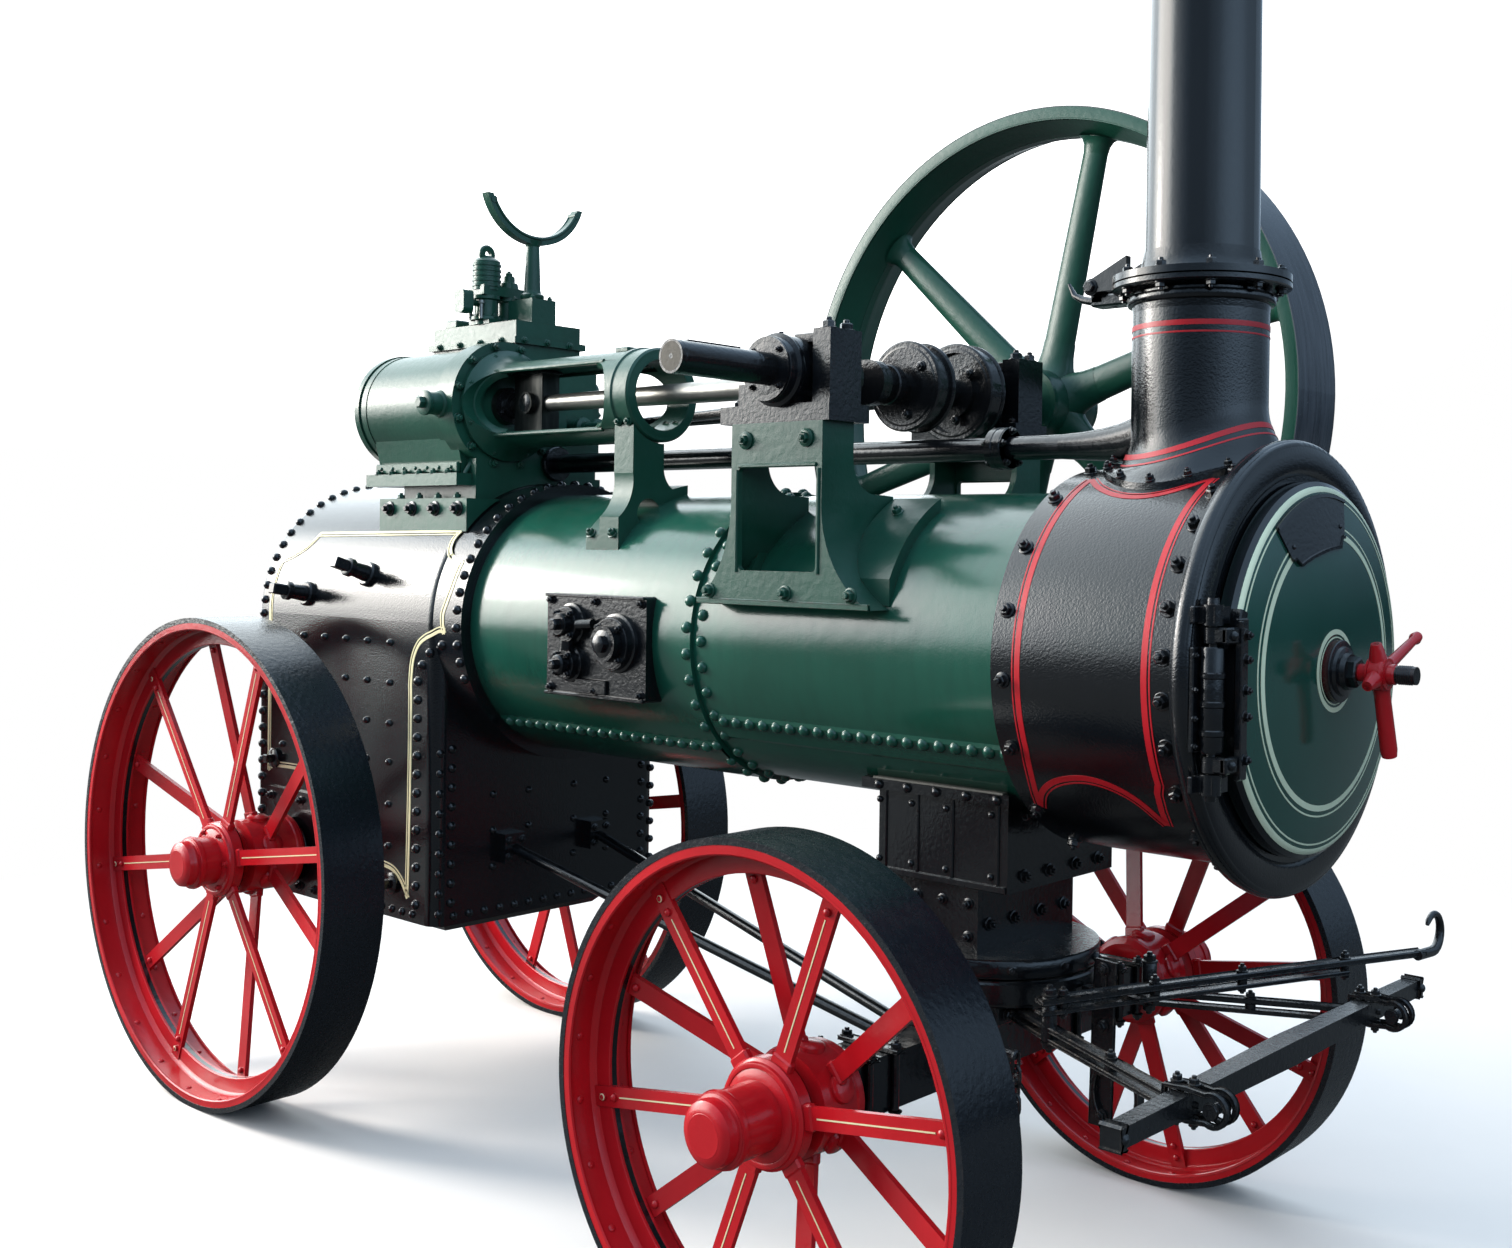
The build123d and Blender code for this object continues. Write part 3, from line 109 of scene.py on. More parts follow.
class Shape:
    """Collects mesh faces of one piece."""

    def __init__(self):
        self.v = []
        self.f = []

    def face(self, ids):
        self.f.append(ids)

    def row(self, pts):
        """Adds points and gives their numbers."""
        first = len(self.v)
        self.v += pts
        return list(range(first, len(self.v)))

    def skin(self, rows, ring=False, back=False):
        """Faces between neighbouring rows: ring closes each row, back turns the faces round."""
        for p, q in zip(rows[:-1], rows[1:]):
            for j in range(len(p) if ring else len(p) - 1):
                k = (j + 1) % len(p)
                self.face([p[j], q[j], q[k], p[k]] if back else [p[j], p[k], q[k], q[j]])

    def ends(self, rows):
        self.face(rows[0][::-1])
        self.face(rows[-1])

    def lathe(self, o, axis, prof, n=16, turn=0.0):
        """Turned form: the profile is a list of (height along the axis, radius)."""
        u, w, k = basis(axis)
        angles = [turn + 2 * pi * i / n for i in range(n)]
        rings = []
        for h, r in prof:
            if r < 1e-6:
                rings.append(self.row([o + k * h]) * n)
            else:
                rings.append(self.row([o + k * h + (u * cos(t) + w * sin(t)) * r for t in angles]))
        for a, b in zip(rings[:-1], rings[1:]):
            for i in range(n):
                j = (i + 1) % n
                q = [a[i], a[j], b[j], b[i]]
                q = [x for p, x in enumerate(q) if x not in q[:p]]
                if len(q) > 2:
                    self.face(q)

    def dome(self, o, n, r, h, seg=9):
        self.lathe(o, n, [(-0.002, r), (h * 0.35, r * 0.96), (h * 0.75, r * 0.68), (h * 0.96, r * 0.3), (h, 0)], seg)

    def bolt(self, o, n, r, h, stud=True, turn=0.0):
        """Hexagon head or nut with washer and a stud end."""
        self.lathe(o, n, [(-0.001, r * 1.3), (h * 0.14, r * 1.3), (h * 0.2, r * 1.2), (h * 0.2, 0)], 14)
        self.lathe(o, n, [(h * 0.15, r), (h * 0.85, r), (h, r * 0.82), (h, 0)], 6, turn)
        if stud:
            self.lathe(o, n, [(h * 0.9, r * 0.48), (h * 1.35, r * 0.48), (h * 1.45, r * 0.36), (h * 1.45, 0)], 10)

    def collar(self, o, axis, h0, h1, bore, r, n):
        """Turned ring with chamfered edges."""
        c = 0.003
        self.lathe(o, axis, [(h0, bore), (h0, r - c), (h0 + c, r), (h1 - c, r), (h1, r - c), (h1, bore)], n)

    def box(self, o, ax, ay, az, hx, hy, hz, b=0.002):
        """Block with chamfered edges."""
        ax, ay, az = ax.normalized(), ay.normalized(), az.normalized()
        b = min(b, hx * 0.45, hy * 0.45, hz * 0.45)
        corners = [(sx, sy, sz) for sx in (-1, 1) for sy in (-1, 1) for sz in (-1, 1)]
        idx = {}
        for c in corners:
            for k in range(3):
                d = [h if j == k else h - b for j, h in enumerate((hx, hy, hz))]
                idx[(*c, k)] = len(self.v)
                self.v.append(o + ax * c[0] * d[0] + ay * c[1] * d[1] + az * c[2] * d[2])
        for k in range(3):
            i, j = (k + 1) % 3, (k + 2) % 3
            for s in (-1, 1):
                q = []
                for si, sj in ((-1, -1), (1, -1), (1, 1), (-1, 1)):
                    key = [0, 0, 0]
                    key[k], key[i], key[j] = s, si, sj
                    q.append(idx[(*key, k)])
                self.face(q if s > 0 else q[::-1])
        for k in range(3):
            i, j = (k + 1) % 3, (k + 2) % 3
            for si in (-1, 1):
                for sj in (-1, 1):
                    q = []
                    for sk, kind in ((-1, i), (1, i), (1, j), (-1, j)):
                        key = [0, 0, 0]
                        key[k], key[i], key[j] = sk, si, sj
                        q.append(idx[(*key, kind)])
                    self.face(q if si * sj > 0 else q[::-1])
        for c in corners:
            t = [idx[(*c, k)] for k in range(3)]
            self.face(t if c[0] * c[1] * c[2] > 0 else t[::-1])

    def bar(self, rings, closed):
        self.skin(rings + rings[:1] if closed else rings, ring=True)
        if not closed:
            self.ends(rings)

    def tube(self, pts, r, seg=10, closed=False, flat=1.0, up=None):
        """Round or flattened bar along points; r may be a list."""
        along = directions(pts, closed)
        u = basis(along[0])[0] if up is None else up
        angles = [2 * pi * (j + 0.5) / seg for j in range(seg)]
        rings = []
        for p, t, size in zip(pts, along, r if isinstance(r, list) else [r] * len(pts)):
            u = (u - t * u.dot(t)).normalized()
            w = t.cross(u)
            rings.append(self.row([p + (u * cos(a) + w * sin(a) * flat) * size for a in angles]))
        self.bar(rings, closed)

    def strap(self, pts, side, wide, thick, closed=False):
        """Flat bar of rectangular section along points; side is the direction of its width."""
        c = min(wide, thick) * 0.18
        rings = []
        for o, t in zip(pts, directions(pts, closed)):
            s = (side - t * side.dot(t)).normalized()
            k = t.cross(s)
            ring = []
            for p, q in ((1, -1), (1, 1), (-1, 1), (-1, -1)):
                for first in (True, False):
                    cut_s = (first == (p * q < 0))
                    ds = p * (wide / 2 - (0 if cut_s else c))
                    dk = q * (thick / 2 - (c if cut_s else 0))
                    ring.append(o + s * ds + k * dk)
            rings.append(self.row(ring))
        self.bar(rings, closed)

    def line(self, pts, nors, w, lift, shift=0.0):
        """Painted line: a thin band that lies on a surface, set sideways by shift."""
        section = ((-w / 2, SINK), (-w / 2, lift), (w / 2, lift), (w / 2, SINK))
        rows = []
        for p, n, t in zip(pts, nors, directions(pts)):
            s = n.cross(t).normalized()
            c = p + s * shift
            rows.append(self.row([c + s * q + n * h for q, h in section]))
        self.skin(rows)

    def make(self, name, body, mat, slot=None):
        me = bpy.data.meshes.new(name)
        me.from_pydata([tuple(p) for p in self.v], [], self.f)
        me.materials.append(mat)
        me.polygons.foreach_set("use_smooth", [True] * len(self.f))
        me.update()
        me.set_sharp_from_angle(angle=rad(SHARP))
        ob = bpy.data.objects.new(name, me)
        bpy.context.scene.collection.objects.link(ob)
        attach(ob, body)
        return ob


def curve(pts, n):
    """Smooth run through points of any number of values."""
    out = []
    last = len(pts) - 1
    for i in range(last):
        near = [pts[max(0, min(last, i + k))] for k in (-1, 0, 1, 2)]
        for t in [j / n for j in range(n)]:
            out.append(tuple(
                0.5 * (2 * b + (c - a) * t + (2 * a - 5 * b + 4 * c - d) * t * t + (3 * b - a - 3 * c + d) * t ** 3)
                for a, b, c, d in zip(*near)))
    return out + [tuple(pts[-1])]


def circle3(a, b, c):
    """Centre and radius of the circle through three flat points."""
    d = 2 * (a[0] * (b[1] - c[1]) + b[0] * (c[1] - a[1]) + c[0] * (a[1] - b[1]))
    qa, qb, qc = a[0] ** 2 + a[1] ** 2, b[0] ** 2 + b[1] ** 2, c[0] ** 2 + c[1] ** 2
    ux = (qa * (b[1] - c[1]) + qb * (c[1] - a[1]) + qc * (a[1] - b[1])) / d
    uy = (qa * (c[0] - b[0]) + qb * (a[0] - c[0]) + qc * (b[0] - a[0])) / d
    return ux, uy, math.hypot(a[0] - ux, a[1] - uy)


def band_z(a):
    """Height of the lower red pair round the chimney foot."""
    return 1.8235 + 0.0287 * cos(a) - 0.030 * sin(a) ** 2


def foot_r(z, a):
    """Radius of the flared chimney foot at a height and a plan angle."""
    return 0.1375 + 0.020 * (max(0.0, band_z(a) + 0.05 - z) / 0.07) ** 2


def seat_z(y):
    """Height of the smokebox's top under the chimney foot."""
    return BZ + (R_SEAT ** 2 - y * y) ** 0.5


# Materials
def nodes_of(name):
    m = bpy.data.materials.new(name)
    m.use_nodes = True
    return m, m.node_tree, m.node_tree.nodes["Principled BSDF"]


def plug(nt, sock, val):
    """Links a socket, or gives it a value."""
    if hasattr(val, "links"):
        nt.links.new(val, sock)
    else:
        sock.default_value = val


def add(nt, kind, inputs=None, **vals):
    """New node with its settings, and its inputs by name or number."""
    nd = nt.nodes.new(kind)
    for k, v in vals.items():
        setattr(nd, k, v)
    for k, v in (inputs or {}).items():
        plug(nt, nd.inputs[k], v)
    return nd


def ramp(nt, src, stops):
    r = add(nt, "ShaderNodeValToRGB", {0: src})
    el = r.color_ramp.elements
    while len(el) < len(stops):
        el.new(0.5)
    for e, (p, c) in zip(el, stops):
        e.position = p
        e.color = c
    return r.outputs[0]


def grey(v):
    return (v, v, v, 1)


def rise(nt, src, low, high, start=0, end=1):
    """Runs from start to end between two values."""
    return ramp(nt, src, [(low, grey(start)), (high, grey(end))])


def mix(nt, fac, a, b):
    return add(nt, "ShaderNodeMix", {0: fac, 6: a, 7: b}, data_type="RGBA").outputs[2]


def calc(nt, op, a, b=0.0):
    return add(nt, "ShaderNodeMath", {0: a, 1: b}, operation=op).outputs[0]


def times(nt, a, b):
    return calc(nt, "MULTIPLY", a, b)


def split(nt, vec):
    """The parts of a vector by their letters."""
    return add(nt, "ShaderNodeSeparateXYZ", {0: vec}).outputs


def reach(nt, a, b):
    """Distance from an axis, by the two offsets from it."""
    return calc(nt, "SQRT", calc(nt, "ADD", times(nt, a, a), times(nt, b, b)))


def noise(nt, vec, scale, detail, rough=0.55, stretch=None):
    if stretch:
        vec = add(nt, "ShaderNodeMapping", {"Vector": vec, "Scale": stretch}).outputs[0]
    inputs = {"Vector": vec, "Scale": scale, "Detail": detail, "Roughness": rough}
    return add(nt, "ShaderNodeTexNoise", inputs).outputs[0]


def bump(nt, strength, distance, height, under=None):
    b = add(nt, "ShaderNodeBump", {"Strength": strength, "Distance": distance, "Height": height})
    if under is not None:
        plug(nt, b.inputs["Normal"], under)
    return b.outputs[0]


def tone(col, by, plus=0.0):
    """A colour made darker or lighter."""
    return tuple(min(1, c * by + plus) for c in col) + (1,)


def paint(name, col, rough, lumps, lump_scale, peel, streak, dust, edge=None, coat=0.0, colour_fn=None, metal=0.0):
    """Brush-laid gloss paint over iron: lumps, peel, faint runs, dust on top, and painted shade that darkens the
    corners.
    """
    m, nt, bs = nodes_of(name)
    tc = add(nt, "ShaderNodeTexCoord").outputs["Object"]
    runs = noise(nt, tc, 1.0, 4, stretch=(34, 34, 3.2))
    base = mix(nt, rise(nt, noise(nt, tc, 2.2, 4), 0.3, 0.7), tone(col, 0.72), tone(col, 1.18, 0.002))
    if colour_fn:
        base = colour_fn(nt, tc, base)
    base = mix(nt, times(nt, rise(nt, runs, 0.45, 0.8), streak), base, tone(col, 0.45))
    # Painted shade: an ambient occlusion mask darkens the colour in corners and creases
    corner_shade = add(nt, "ShaderNodeAmbientOcclusion", {"Distance": 0.045}, samples=4).outputs["AO"]
    base = mix(nt, times(nt, rise(nt, corner_shade, 0.25, 0.75, 1, 0), 0.6), base, tone(col, 0.3, 0.002))
    normal = add(nt, "ShaderNodeNewGeometry").outputs["Normal"]
    up = rise(nt, split(nt, normal)["Z"], 0.55, 1.0)
    dusty = times(nt, times(nt, up, rise(nt, noise(nt, tc, 26, 6, 0.65), 0.42, 0.72)), dust)
    base = mix(nt, dusty, base, (0.13, 0.12, 0.10, 1))
    if edge:
        bevel = add(nt, "ShaderNodeBevel", {"Radius": 0.004}, samples=4).outputs[0]
        dot = add(nt, "ShaderNodeVectorMath", {0: bevel, 1: normal}, operation="DOT_PRODUCT").outputs["Value"]
        rim = times(nt, rise(nt, dot, 0.86, 0.985, 1, 0), rise(nt, noise(nt, tc, 45, 5), 0.5, 0.62))
        base = mix(nt, times(nt, rim, 0.5), base, edge + (1,))
    rr = calc(nt, "ADD", times(nt, noise(nt, tc, 95, 5), 0.16), rough - 0.06)
    rr = calc(nt, "ADD", rr, times(nt, dusty, 0.5))
    under = bump(nt, lumps, 0.0022, noise(nt, tc, lump_scale, 2.5, 0.5))
    skin = bump(nt, peel, 0.0006, noise(nt, tc, 320, 2), under)
    values = {"Base Color": base, "Roughness": rr, "Metallic": metal, "Coat Weight": coat, "Coat Roughness": 0.08,
              "Normal": bump(nt, streak * 0.6, 0.0012, runs, skin)}
    if coat:
        values["Coat Normal"] = skin
    for k, v in values.items():
        plug(nt, bs.inputs[k], v)
    return m


def door_edge(nt, tc, base):
    """The door's edge is black, its dished face green."""
    part = split(nt, tc)
    r = reach(nt, part["Y"], calc(nt, "SUBTRACT", part["Z"], BZ))
    return mix(nt, calc(nt, "GREATER_THAN", r, 0.3535), base, BLACK + (1,))


def belt_face(nt, tc, base):
    """Dark steel where the belt runs, paint inside."""
    part = split(nt, tc)
    r = reach(nt, calc(nt, "SUBTRACT", part["X"], SX + AX), calc(nt, "SUBTRACT", part["Z"], SZ))
    grain = rise(nt, noise(nt, tc, 1.0, 4, stretch=(6, 90, 6)), 0.35, 0.7)
    worn = mix(nt, grain, (0.030, 0.035, 0.044, 1), (0.066, 0.073, 0.086, 1))
    return mix(nt, calc(nt, "GREATER_THAN", r, 0.7595), base, worn)


def spindle_colour(nt, tc, base):
    """The door spindle's ends are black."""
    x = split(nt, tc)["X"]
    ends = calc(nt, "ADD", calc(nt, "LESS_THAN", x, 3.082 + AX), calc(nt, "GREATER_THAN", x, 3.187 + AX))
    return mix(nt, ends, base, BLACK + (1,))


def rod_colour(nt, tc, base):
    """The connecting rod is dark at the crosshead."""
    return mix(nt, calc(nt, "LESS_THAN", split(nt, tc)["X"], 0.857 + AX), base, (0.03, 0.032, 0.03, 1))


GREEN = (0.0075, 0.074, 0.048)
BLACK = (0.0024, 0.0032, 0.0046)
RED = (0.47, 0.0065, 0.012)
RUST = (0.05, 0.022, 0.012)
green = paint("green_paint", GREEN, 0.17, 0.16, 26, 0.25, 0.28, 0.14, coat=0.35)
green_cast = paint("green_cast", (0.008, 0.064, 0.041), 0.3, 0.26, 62, 0.3, 0.15, 0.22, edge=RUST, coat=0.12)
door_green = paint("door_green", (0.010, 0.062, 0.045), 0.12, 0.1, 14, 0.12, 0.1, 0.06, coat=0.5, colour_fn=door_edge)
black = paint("black_paint", BLACK, 0.15, 0.3, 48, 0.3, 0.25, 0.14, coat=0.4)
black_lumpy = paint("black_lumpy", BLACK, 0.12, 0.2, 190, 0.4, 0.3, 0.1, coat=0.4)
black_tube = paint("black_tube", BLACK, 0.15, 0.12, 40, 0.3, 0.45, 0.1, coat=0.4)
end_steel = paint("end_steel", (0.10, 0.088, 0.070), 0.6, 0.5, 160, 0.5, 0.2, 0.2, metal=0.2)
black_cast = paint("black_cast", BLACK, 0.19, 0.3, 95, 0.35, 0.1, 0.2, edge=(0.03, 0.016, 0.01), coat=0.3)
red = paint("red_wheel", RED, 0.2, 0.2, 70, 0.25, 0.12, 0.06, edge=(0.2, 0.006, 0.008), coat=0.1)
tyre_iron = paint("wheel_iron", (0.0065, 0.0085, 0.012), 0.24, 0.55, 70, 0.6, 0.1, 0.07, edge=(0.04, 0.028, 0.022),
    coat=0.2)
rim_paint = paint("flywheel_rim", (0.010, 0.062, 0.040), 0.22, 0.2, 40, 0.3, 0.1, 0.15, colour_fn=belt_face)
bright = paint("bright_steel", (0.42, 0.41, 0.38), 0.3, 0.1, 60, 0.25, 0.5, 0.1, metal=0.9)
dark_steel = paint("dark_steel", (0.0055, 0.006, 0.007), 0.16, 0.4, 90, 0.35, 0.1, 0.16, coat=0.4)
brass = paint("brass", (0.52, 0.33, 0.09), 0.25, 0.1, 60, 0.15, 0.3, 0.1, metal=0.95)
cream = paint("cream_line", (0.74, 0.66, 0.40), 0.32, 0.1, 60, 0.2, 0.1, 0.1)
pale = paint("pale_line", (0.66, 0.72, 0.52), 0.3, 0.1, 60, 0.2, 0.1, 0.05)
red_line = paint("red_line", (0.47, 0.008, 0.016), 0.3, 0.15, 60, 0.2, 0.1, 0.1)
dusty_strip = paint("dusty_strip", (0.12, 0.115, 0.10), 0.6, 0.5, 120, 0.5, 0.3, 0.6)
worn_iron = paint("worn_iron", (0.007, 0.0075, 0.009), 0.22, 0.55, 80, 0.4, 0.1, 0.2, edge=(0.09, 0.07, 0.055),
    coat=0.2)

spindle = paint("door_spindle_paint", RED, 0.24, 0.2, 70, 0.3, 0.1, 0.12, colour_fn=spindle_colour)
rod_steel = paint("rod_steel", (0.40, 0.39, 0.36), 0.3, 0.1, 60, 0.25, 0.5, 0.1, metal=0.9, colour_fn=rod_colour)
dial = paint("dial_face", (0.72, 0.72, 0.68), 0.3, 0.0, 60, 0.05, 0.0, 0.05)

SLOTS = {"green_paint": green, "black_paint": black, "red_wheel": red, "wheel_iron": tyre_iron,
    "flywheel_rim": rim_paint, "bright_steel": bright, "dark_steel": dark_steel, "brass": brass}
OWN = {"smokebox_door": door_green, "smokebox": black_lumpy, "firebox": black_lumpy, "chimney": black_tube,
    "draw_gear": worn_iron, "door_spindle": spindle, "connecting_rod": rod_steel}
for n in ("cylinder_block", "steam_chest", "dome_chest", "safety_valves", "trunk_guide", "guide_bracket",
        "crank_bracket_near", "crank_bracket_far", "flywheel_arms", "chimney_crutch"):
    OWN[n] = green_cast
for n in ("crank_bearing_near", "crank_bearing_far", "door_hinge", "door_straps", "feed_pad", "pedestal",
        "turntable_top"):
    OWN[n] = black_cast
for sub in frame["record"]["subparts"]:
    got = frame["nodes"][sub["node"]]
    for ob in (got if isinstance(got, (list, tuple)) else [got]):
        ob.data.materials.clear()
        ob.data.materials.append(OWN.get(sub["node"], SLOTS[sub["material_slot"]]))

# Camera: its angles, place, lens and shift are solved from circles and edges of the picture
yaw, pitch, roll = rad(129.9728), rad(-0.4535), rad(0.8620)
fwd = Vector((cos(yaw) * cos(pitch), sin(yaw) * cos(pitch), sin(pitch)))
right = Vector((sin(yaw), -cos(yaw), 0))
up = right.cross(fwd)
r2 = cos(roll) * right + sin(roll) * up
u2 = -sin(roll) * right + cos(roll) * up
lens = bpy.data.cameras.new("camera")
cam = bpy.data.objects.new("camera", lens)
bpy.context.scene.collection.objects.link(cam)
M = Matrix.Identity(4)
for i in range(3):
    M[i][0], M[i][1], M[i][2] = r2[i], u2[i], -fwd[i]
M.translation = Vector((3.12436, -2.89419, 1.59966))
cam.matrix_world = M
lens.sensor_width = 36
lens.lens = 38.283
lens.shift_x = -0.09338
lens.shift_y = -0.04233
bpy.context.scene.camera = cam

# Rivets of the barrel
s = Shape()
for k in range(36):
    for x, a, r in ((1.632, 5 + 10 * k, R1), (1.672, 10 * k, R2)):
        p, n = shell(x, a, r)
        s.dome(p, n, 0.0142, 0.0115, 12)
for side in (-1, 1):
    for count, x0, a, r in ((20, 1.70, 122.2, R2), (19, 0.83, 136, R1)):
        for k in range(count):
            p, n = shell(x0 + 0.0425 * k, side * a, r, 0.004)
            s.dome(p, n, 0.0142, 0.0115, 12)
s.make("barrel_rivets", "engine", green, "green_paint")

# Lap plates along the barrel
s = Shape()
for side in (-1, 1):
    for x0, x1, a0, a1, r in ((1.655, 2.537, 118.5, 132, R2), (0.797, 1.64, 132.5, 146, R1)):
        rows = []
        for j in range(7):
            a = a0 + (a1 - a0) * j / 6
            lift = 0.004 if 0 < j < 6 else -0.002
            rows.append([shell(x, side * a, r, lift)[0] for x in (x0, x1)])
        for p, q in zip(rows[:-1], rows[1:]):
            quad = s.row([p[0], p[1], q[1], q[0]])
            s.face(quad if side > 0 else quad[::-1])
s.make("barrel_laps", "engine", green, "green_paint")

# Rivets and stays of the firebox
s = Shape()
for count, x, first, pitch_deg, r in ((33, 0.774, -112, 7, R_RING), (27, -0.203, -84.5, 6.5, R_BOX)):
    for k in range(count):
        p, n = shell(x, first + pitch_deg * k, r)
        s.dome(p, n, 0.0135, 0.012)
for side, nn in SIDES:
    for k in range(16):
        s.dome(at(-0.207, side * R_BOX, 0.63 + 0.0495 * k), nn, 0.0135, 0.012)
    for k in range(13):
        s.dome(at(0.608, side * R_BOX, 0.611 + 0.0505 * k), nn, 0.0135, 0.012)
    for x, z in ((0.627, 1.262), (0.662, 1.297)):
        s.dome(at(x, side * R_BOX, z), nn, 0.0135, 0.012)
    p, n = shell(0.706, side * 98.5, R_RING)
    s.dome(p, n, 0.0135, 0.012)
    for k in range(17):
        s.dome(at(-0.19 + 0.049 * k, side * R_BOX, 0.583), nn, 0.0115, 0.010)
    for r, z in enumerate((1.316, 1.205, 1.093, 0.985, 0.868, 0.753, 0.645)):
        for c, x in enumerate((-0.09, 0.022, 0.136, 0.249, 0.360, 0.473)):
            if abs(x) < 0.16 and z < 0.87:
                continue
            s.dome(at(x, side * R_BOX, z), nn, 0.0105, 0.011)
    for k in range(9):
        s.dome(at(THROAT_X, side * 0.335, 0.62 + 0.052 * k), X, 0.0125, 0.011)
    for k in range(13):
        s.dome(at(REAR_X, side * R_REAR, 0.62 + 0.056 * k), -X, 0.0125, 0.011)
for side in (-1, 1):
    for k in range(9):
        s.dome(at(THROAT_X, side * 0.372, 0.595 + 0.054 * k), X, 0.0115, 0.010)
for k in range(14):
    s.dome(at(THROAT_X, -0.325 + 0.05 * k, 0.583), X, 0.0115, 0.010)
    s.dome(at(REAR_X, -0.325 + 0.05 * k, 0.583), -X, 0.0115, 0.010)
for k in range(21):
    a = rad(-88 + 8.8 * k)
    s.dome(at(REAR_X, -R_REAR * sin(a), BZ + R_REAR * cos(a)), -X, 0.0125, 0.011)
for z in (0.70, 0.80, 0.90):
    for y in (-0.2, -0.08, 0.08, 0.2):
        s.dome(at(THROAT_X, y, z), X, 0.0105, 0.010)
for z in (0.74, 0.86, 1.26, 1.37):
    for y in (-0.24, -0.12, 0.0, 0.12, 0.24):
        if z > 1.2 and abs(y + 0.2) < 0.07:
            continue
        s.dome(at(REAR_X, y, z), -X, 0.0105, 0.010)
s.make("firebox_rivets", "engine", black_lumpy, "black_paint")

# Washout plugs on the shoulder and mud plugs low down
s = Shape()
for side, nn in SIDES:
    for x, a in ((0.036, 81), (0.332, 71.5)):
        p, n = shell(x, side * a, R_BOX)
        s.lathe(p, n, [(-0.004, 0.036), (0.010, 0.036), (0.014, 0.031), (0.014, 0.024), (0.055, 0.021),
            (0.06, 0.027), (0.074, 0.027), (0.078, 0.019), (0.078, 0)], 16)
        s.box(p + n * 0.096, n, X, n.cross(X), 0.022, 0.0155, 0.0155, 0.003)
    for x, z in ((0.50, 0.655), (-0.13, 0.94)):
        s.lathe(at(x, side * R_BOX, z), nn, [(-0.002, 0.03), (0.009, 0.03), (0.013, 0.024), (0.013, 0)], 16)
        s.box(at(x, side * 0.411, z), nn, X, Z, 0.014, 0.012, 0.012, 0.002)
s.make("washout_plugs", "engine", black_cast, "black_paint")

# Cream panel lines on the firebox: flat part in (x, z), round part in (x, angle)
flat_part = curve([(0.572, 0.628), (0.575, 0.76), (0.578, 0.96), (0.578, 1.156), (0.577, 1.215), (0.586, 1.275),
    (0.610, 1.315), (0.642, 1.335), (0.668, 1.344)], 6)
corner = [(0.690, 93.2), (0.700, 92.8), (0.712, 92.9), (0.7245, 93.4)]
round_part = curve([(0.716, 90.4), (0.715, 86.0), (0.726, 81.5), (0.738, 75.5), (0.744, 68.5), (0.747, 64.1)], 6)
notch = curve([(0.747, 64.1), (0.722, 63.6), (0.695, 62.2), (0.674, 59.6), (0.664, 56.5), (0.662, 53.4),
    (0.669, 50.3)], 5)
top_run = [(0.669 - 0.0702 * k, 50.3 + 0.19 * k) for k in range(11)]
rear_notch = curve([(-0.033, 52.2), (-0.040, 55.5), (-0.062, 59.5), (-0.100, 62.8), (-0.135, 64.9), (-0.160, 65.9)], 5)
rear_round = curve([(-0.163, 68.0), (-0.168, 74.0), (-0.170, 82.0), (-0.170, 89.9)], 6)
rear_flat = [(-0.170, 1.35), (-0.171, 1.2), (-0.171, 1.0), (-0.170, 0.90)]
arch = curve([(-0.170, 0.90), (-0.148, 0.912), (-0.10, 0.918), (0.0, 0.920), (0.10, 0.918), (0.148, 0.906),
    (0.175, 0.880), (0.186, 0.84), (0.19, 0.78), (0.205, 0.735), (0.24, 0.708)], 4)
low_run = [(0.30, 0.699), (0.38, 0.697), (0.458, 0.698)]
tip = curve([(0.458, 0.698), (0.500, 0.691), (0.532, 0.672), (0.555, 0.648), (0.570, 0.622)], 5)
s = Shape()
for side, nn in SIDES:
    runs = []
    for kind, part in (("f", flat_part), ("r", corner), ("r", round_part), ("r", notch), ("r", top_run),
            ("r", rear_notch), ("r", rear_round), ("f", rear_flat), ("f", arch), ("f", low_run), ("f", tip)):
        pts = []
        for a, b in part:
            if kind == "f":
                pts.append((at(a, side * R_BOX, b), nn))
            else:
                r = R_BOX if a < THROAT_X else R_RING
                pts.append(shell(a, -side * b, r))
        runs.append(pts)
    joined = []
    for pts in runs:
        for p in pts:
            if not joined or (p[0] - joined[-1][0]).length > 0.003:
                joined.append(p)
    pieces = [[0]]
    for i in range(1, len(joined) - 1):
        d0 = (joined[i][0] - joined[i - 1][0]).normalized()
        d1 = (joined[i + 1][0] - joined[i][0]).normalized()
        pieces[-1].append(i)
        if d0.dot(d1) < 0.6:
            pieces.append([i])
    pieces[-1].append(len(joined) - 1)
    for ids in pieces:
        if len(ids) < 2:
            continue
        P = [joined[i][0] for i in ids]
        N = [joined[i][1] for i in ids]
        s.line(P, N, 0.0088, 0.0013)
        s.line(P, N, 0.0038, 0.0013, shift=-0.0108 * side)
s.make("cream_lines", "engine", cream)

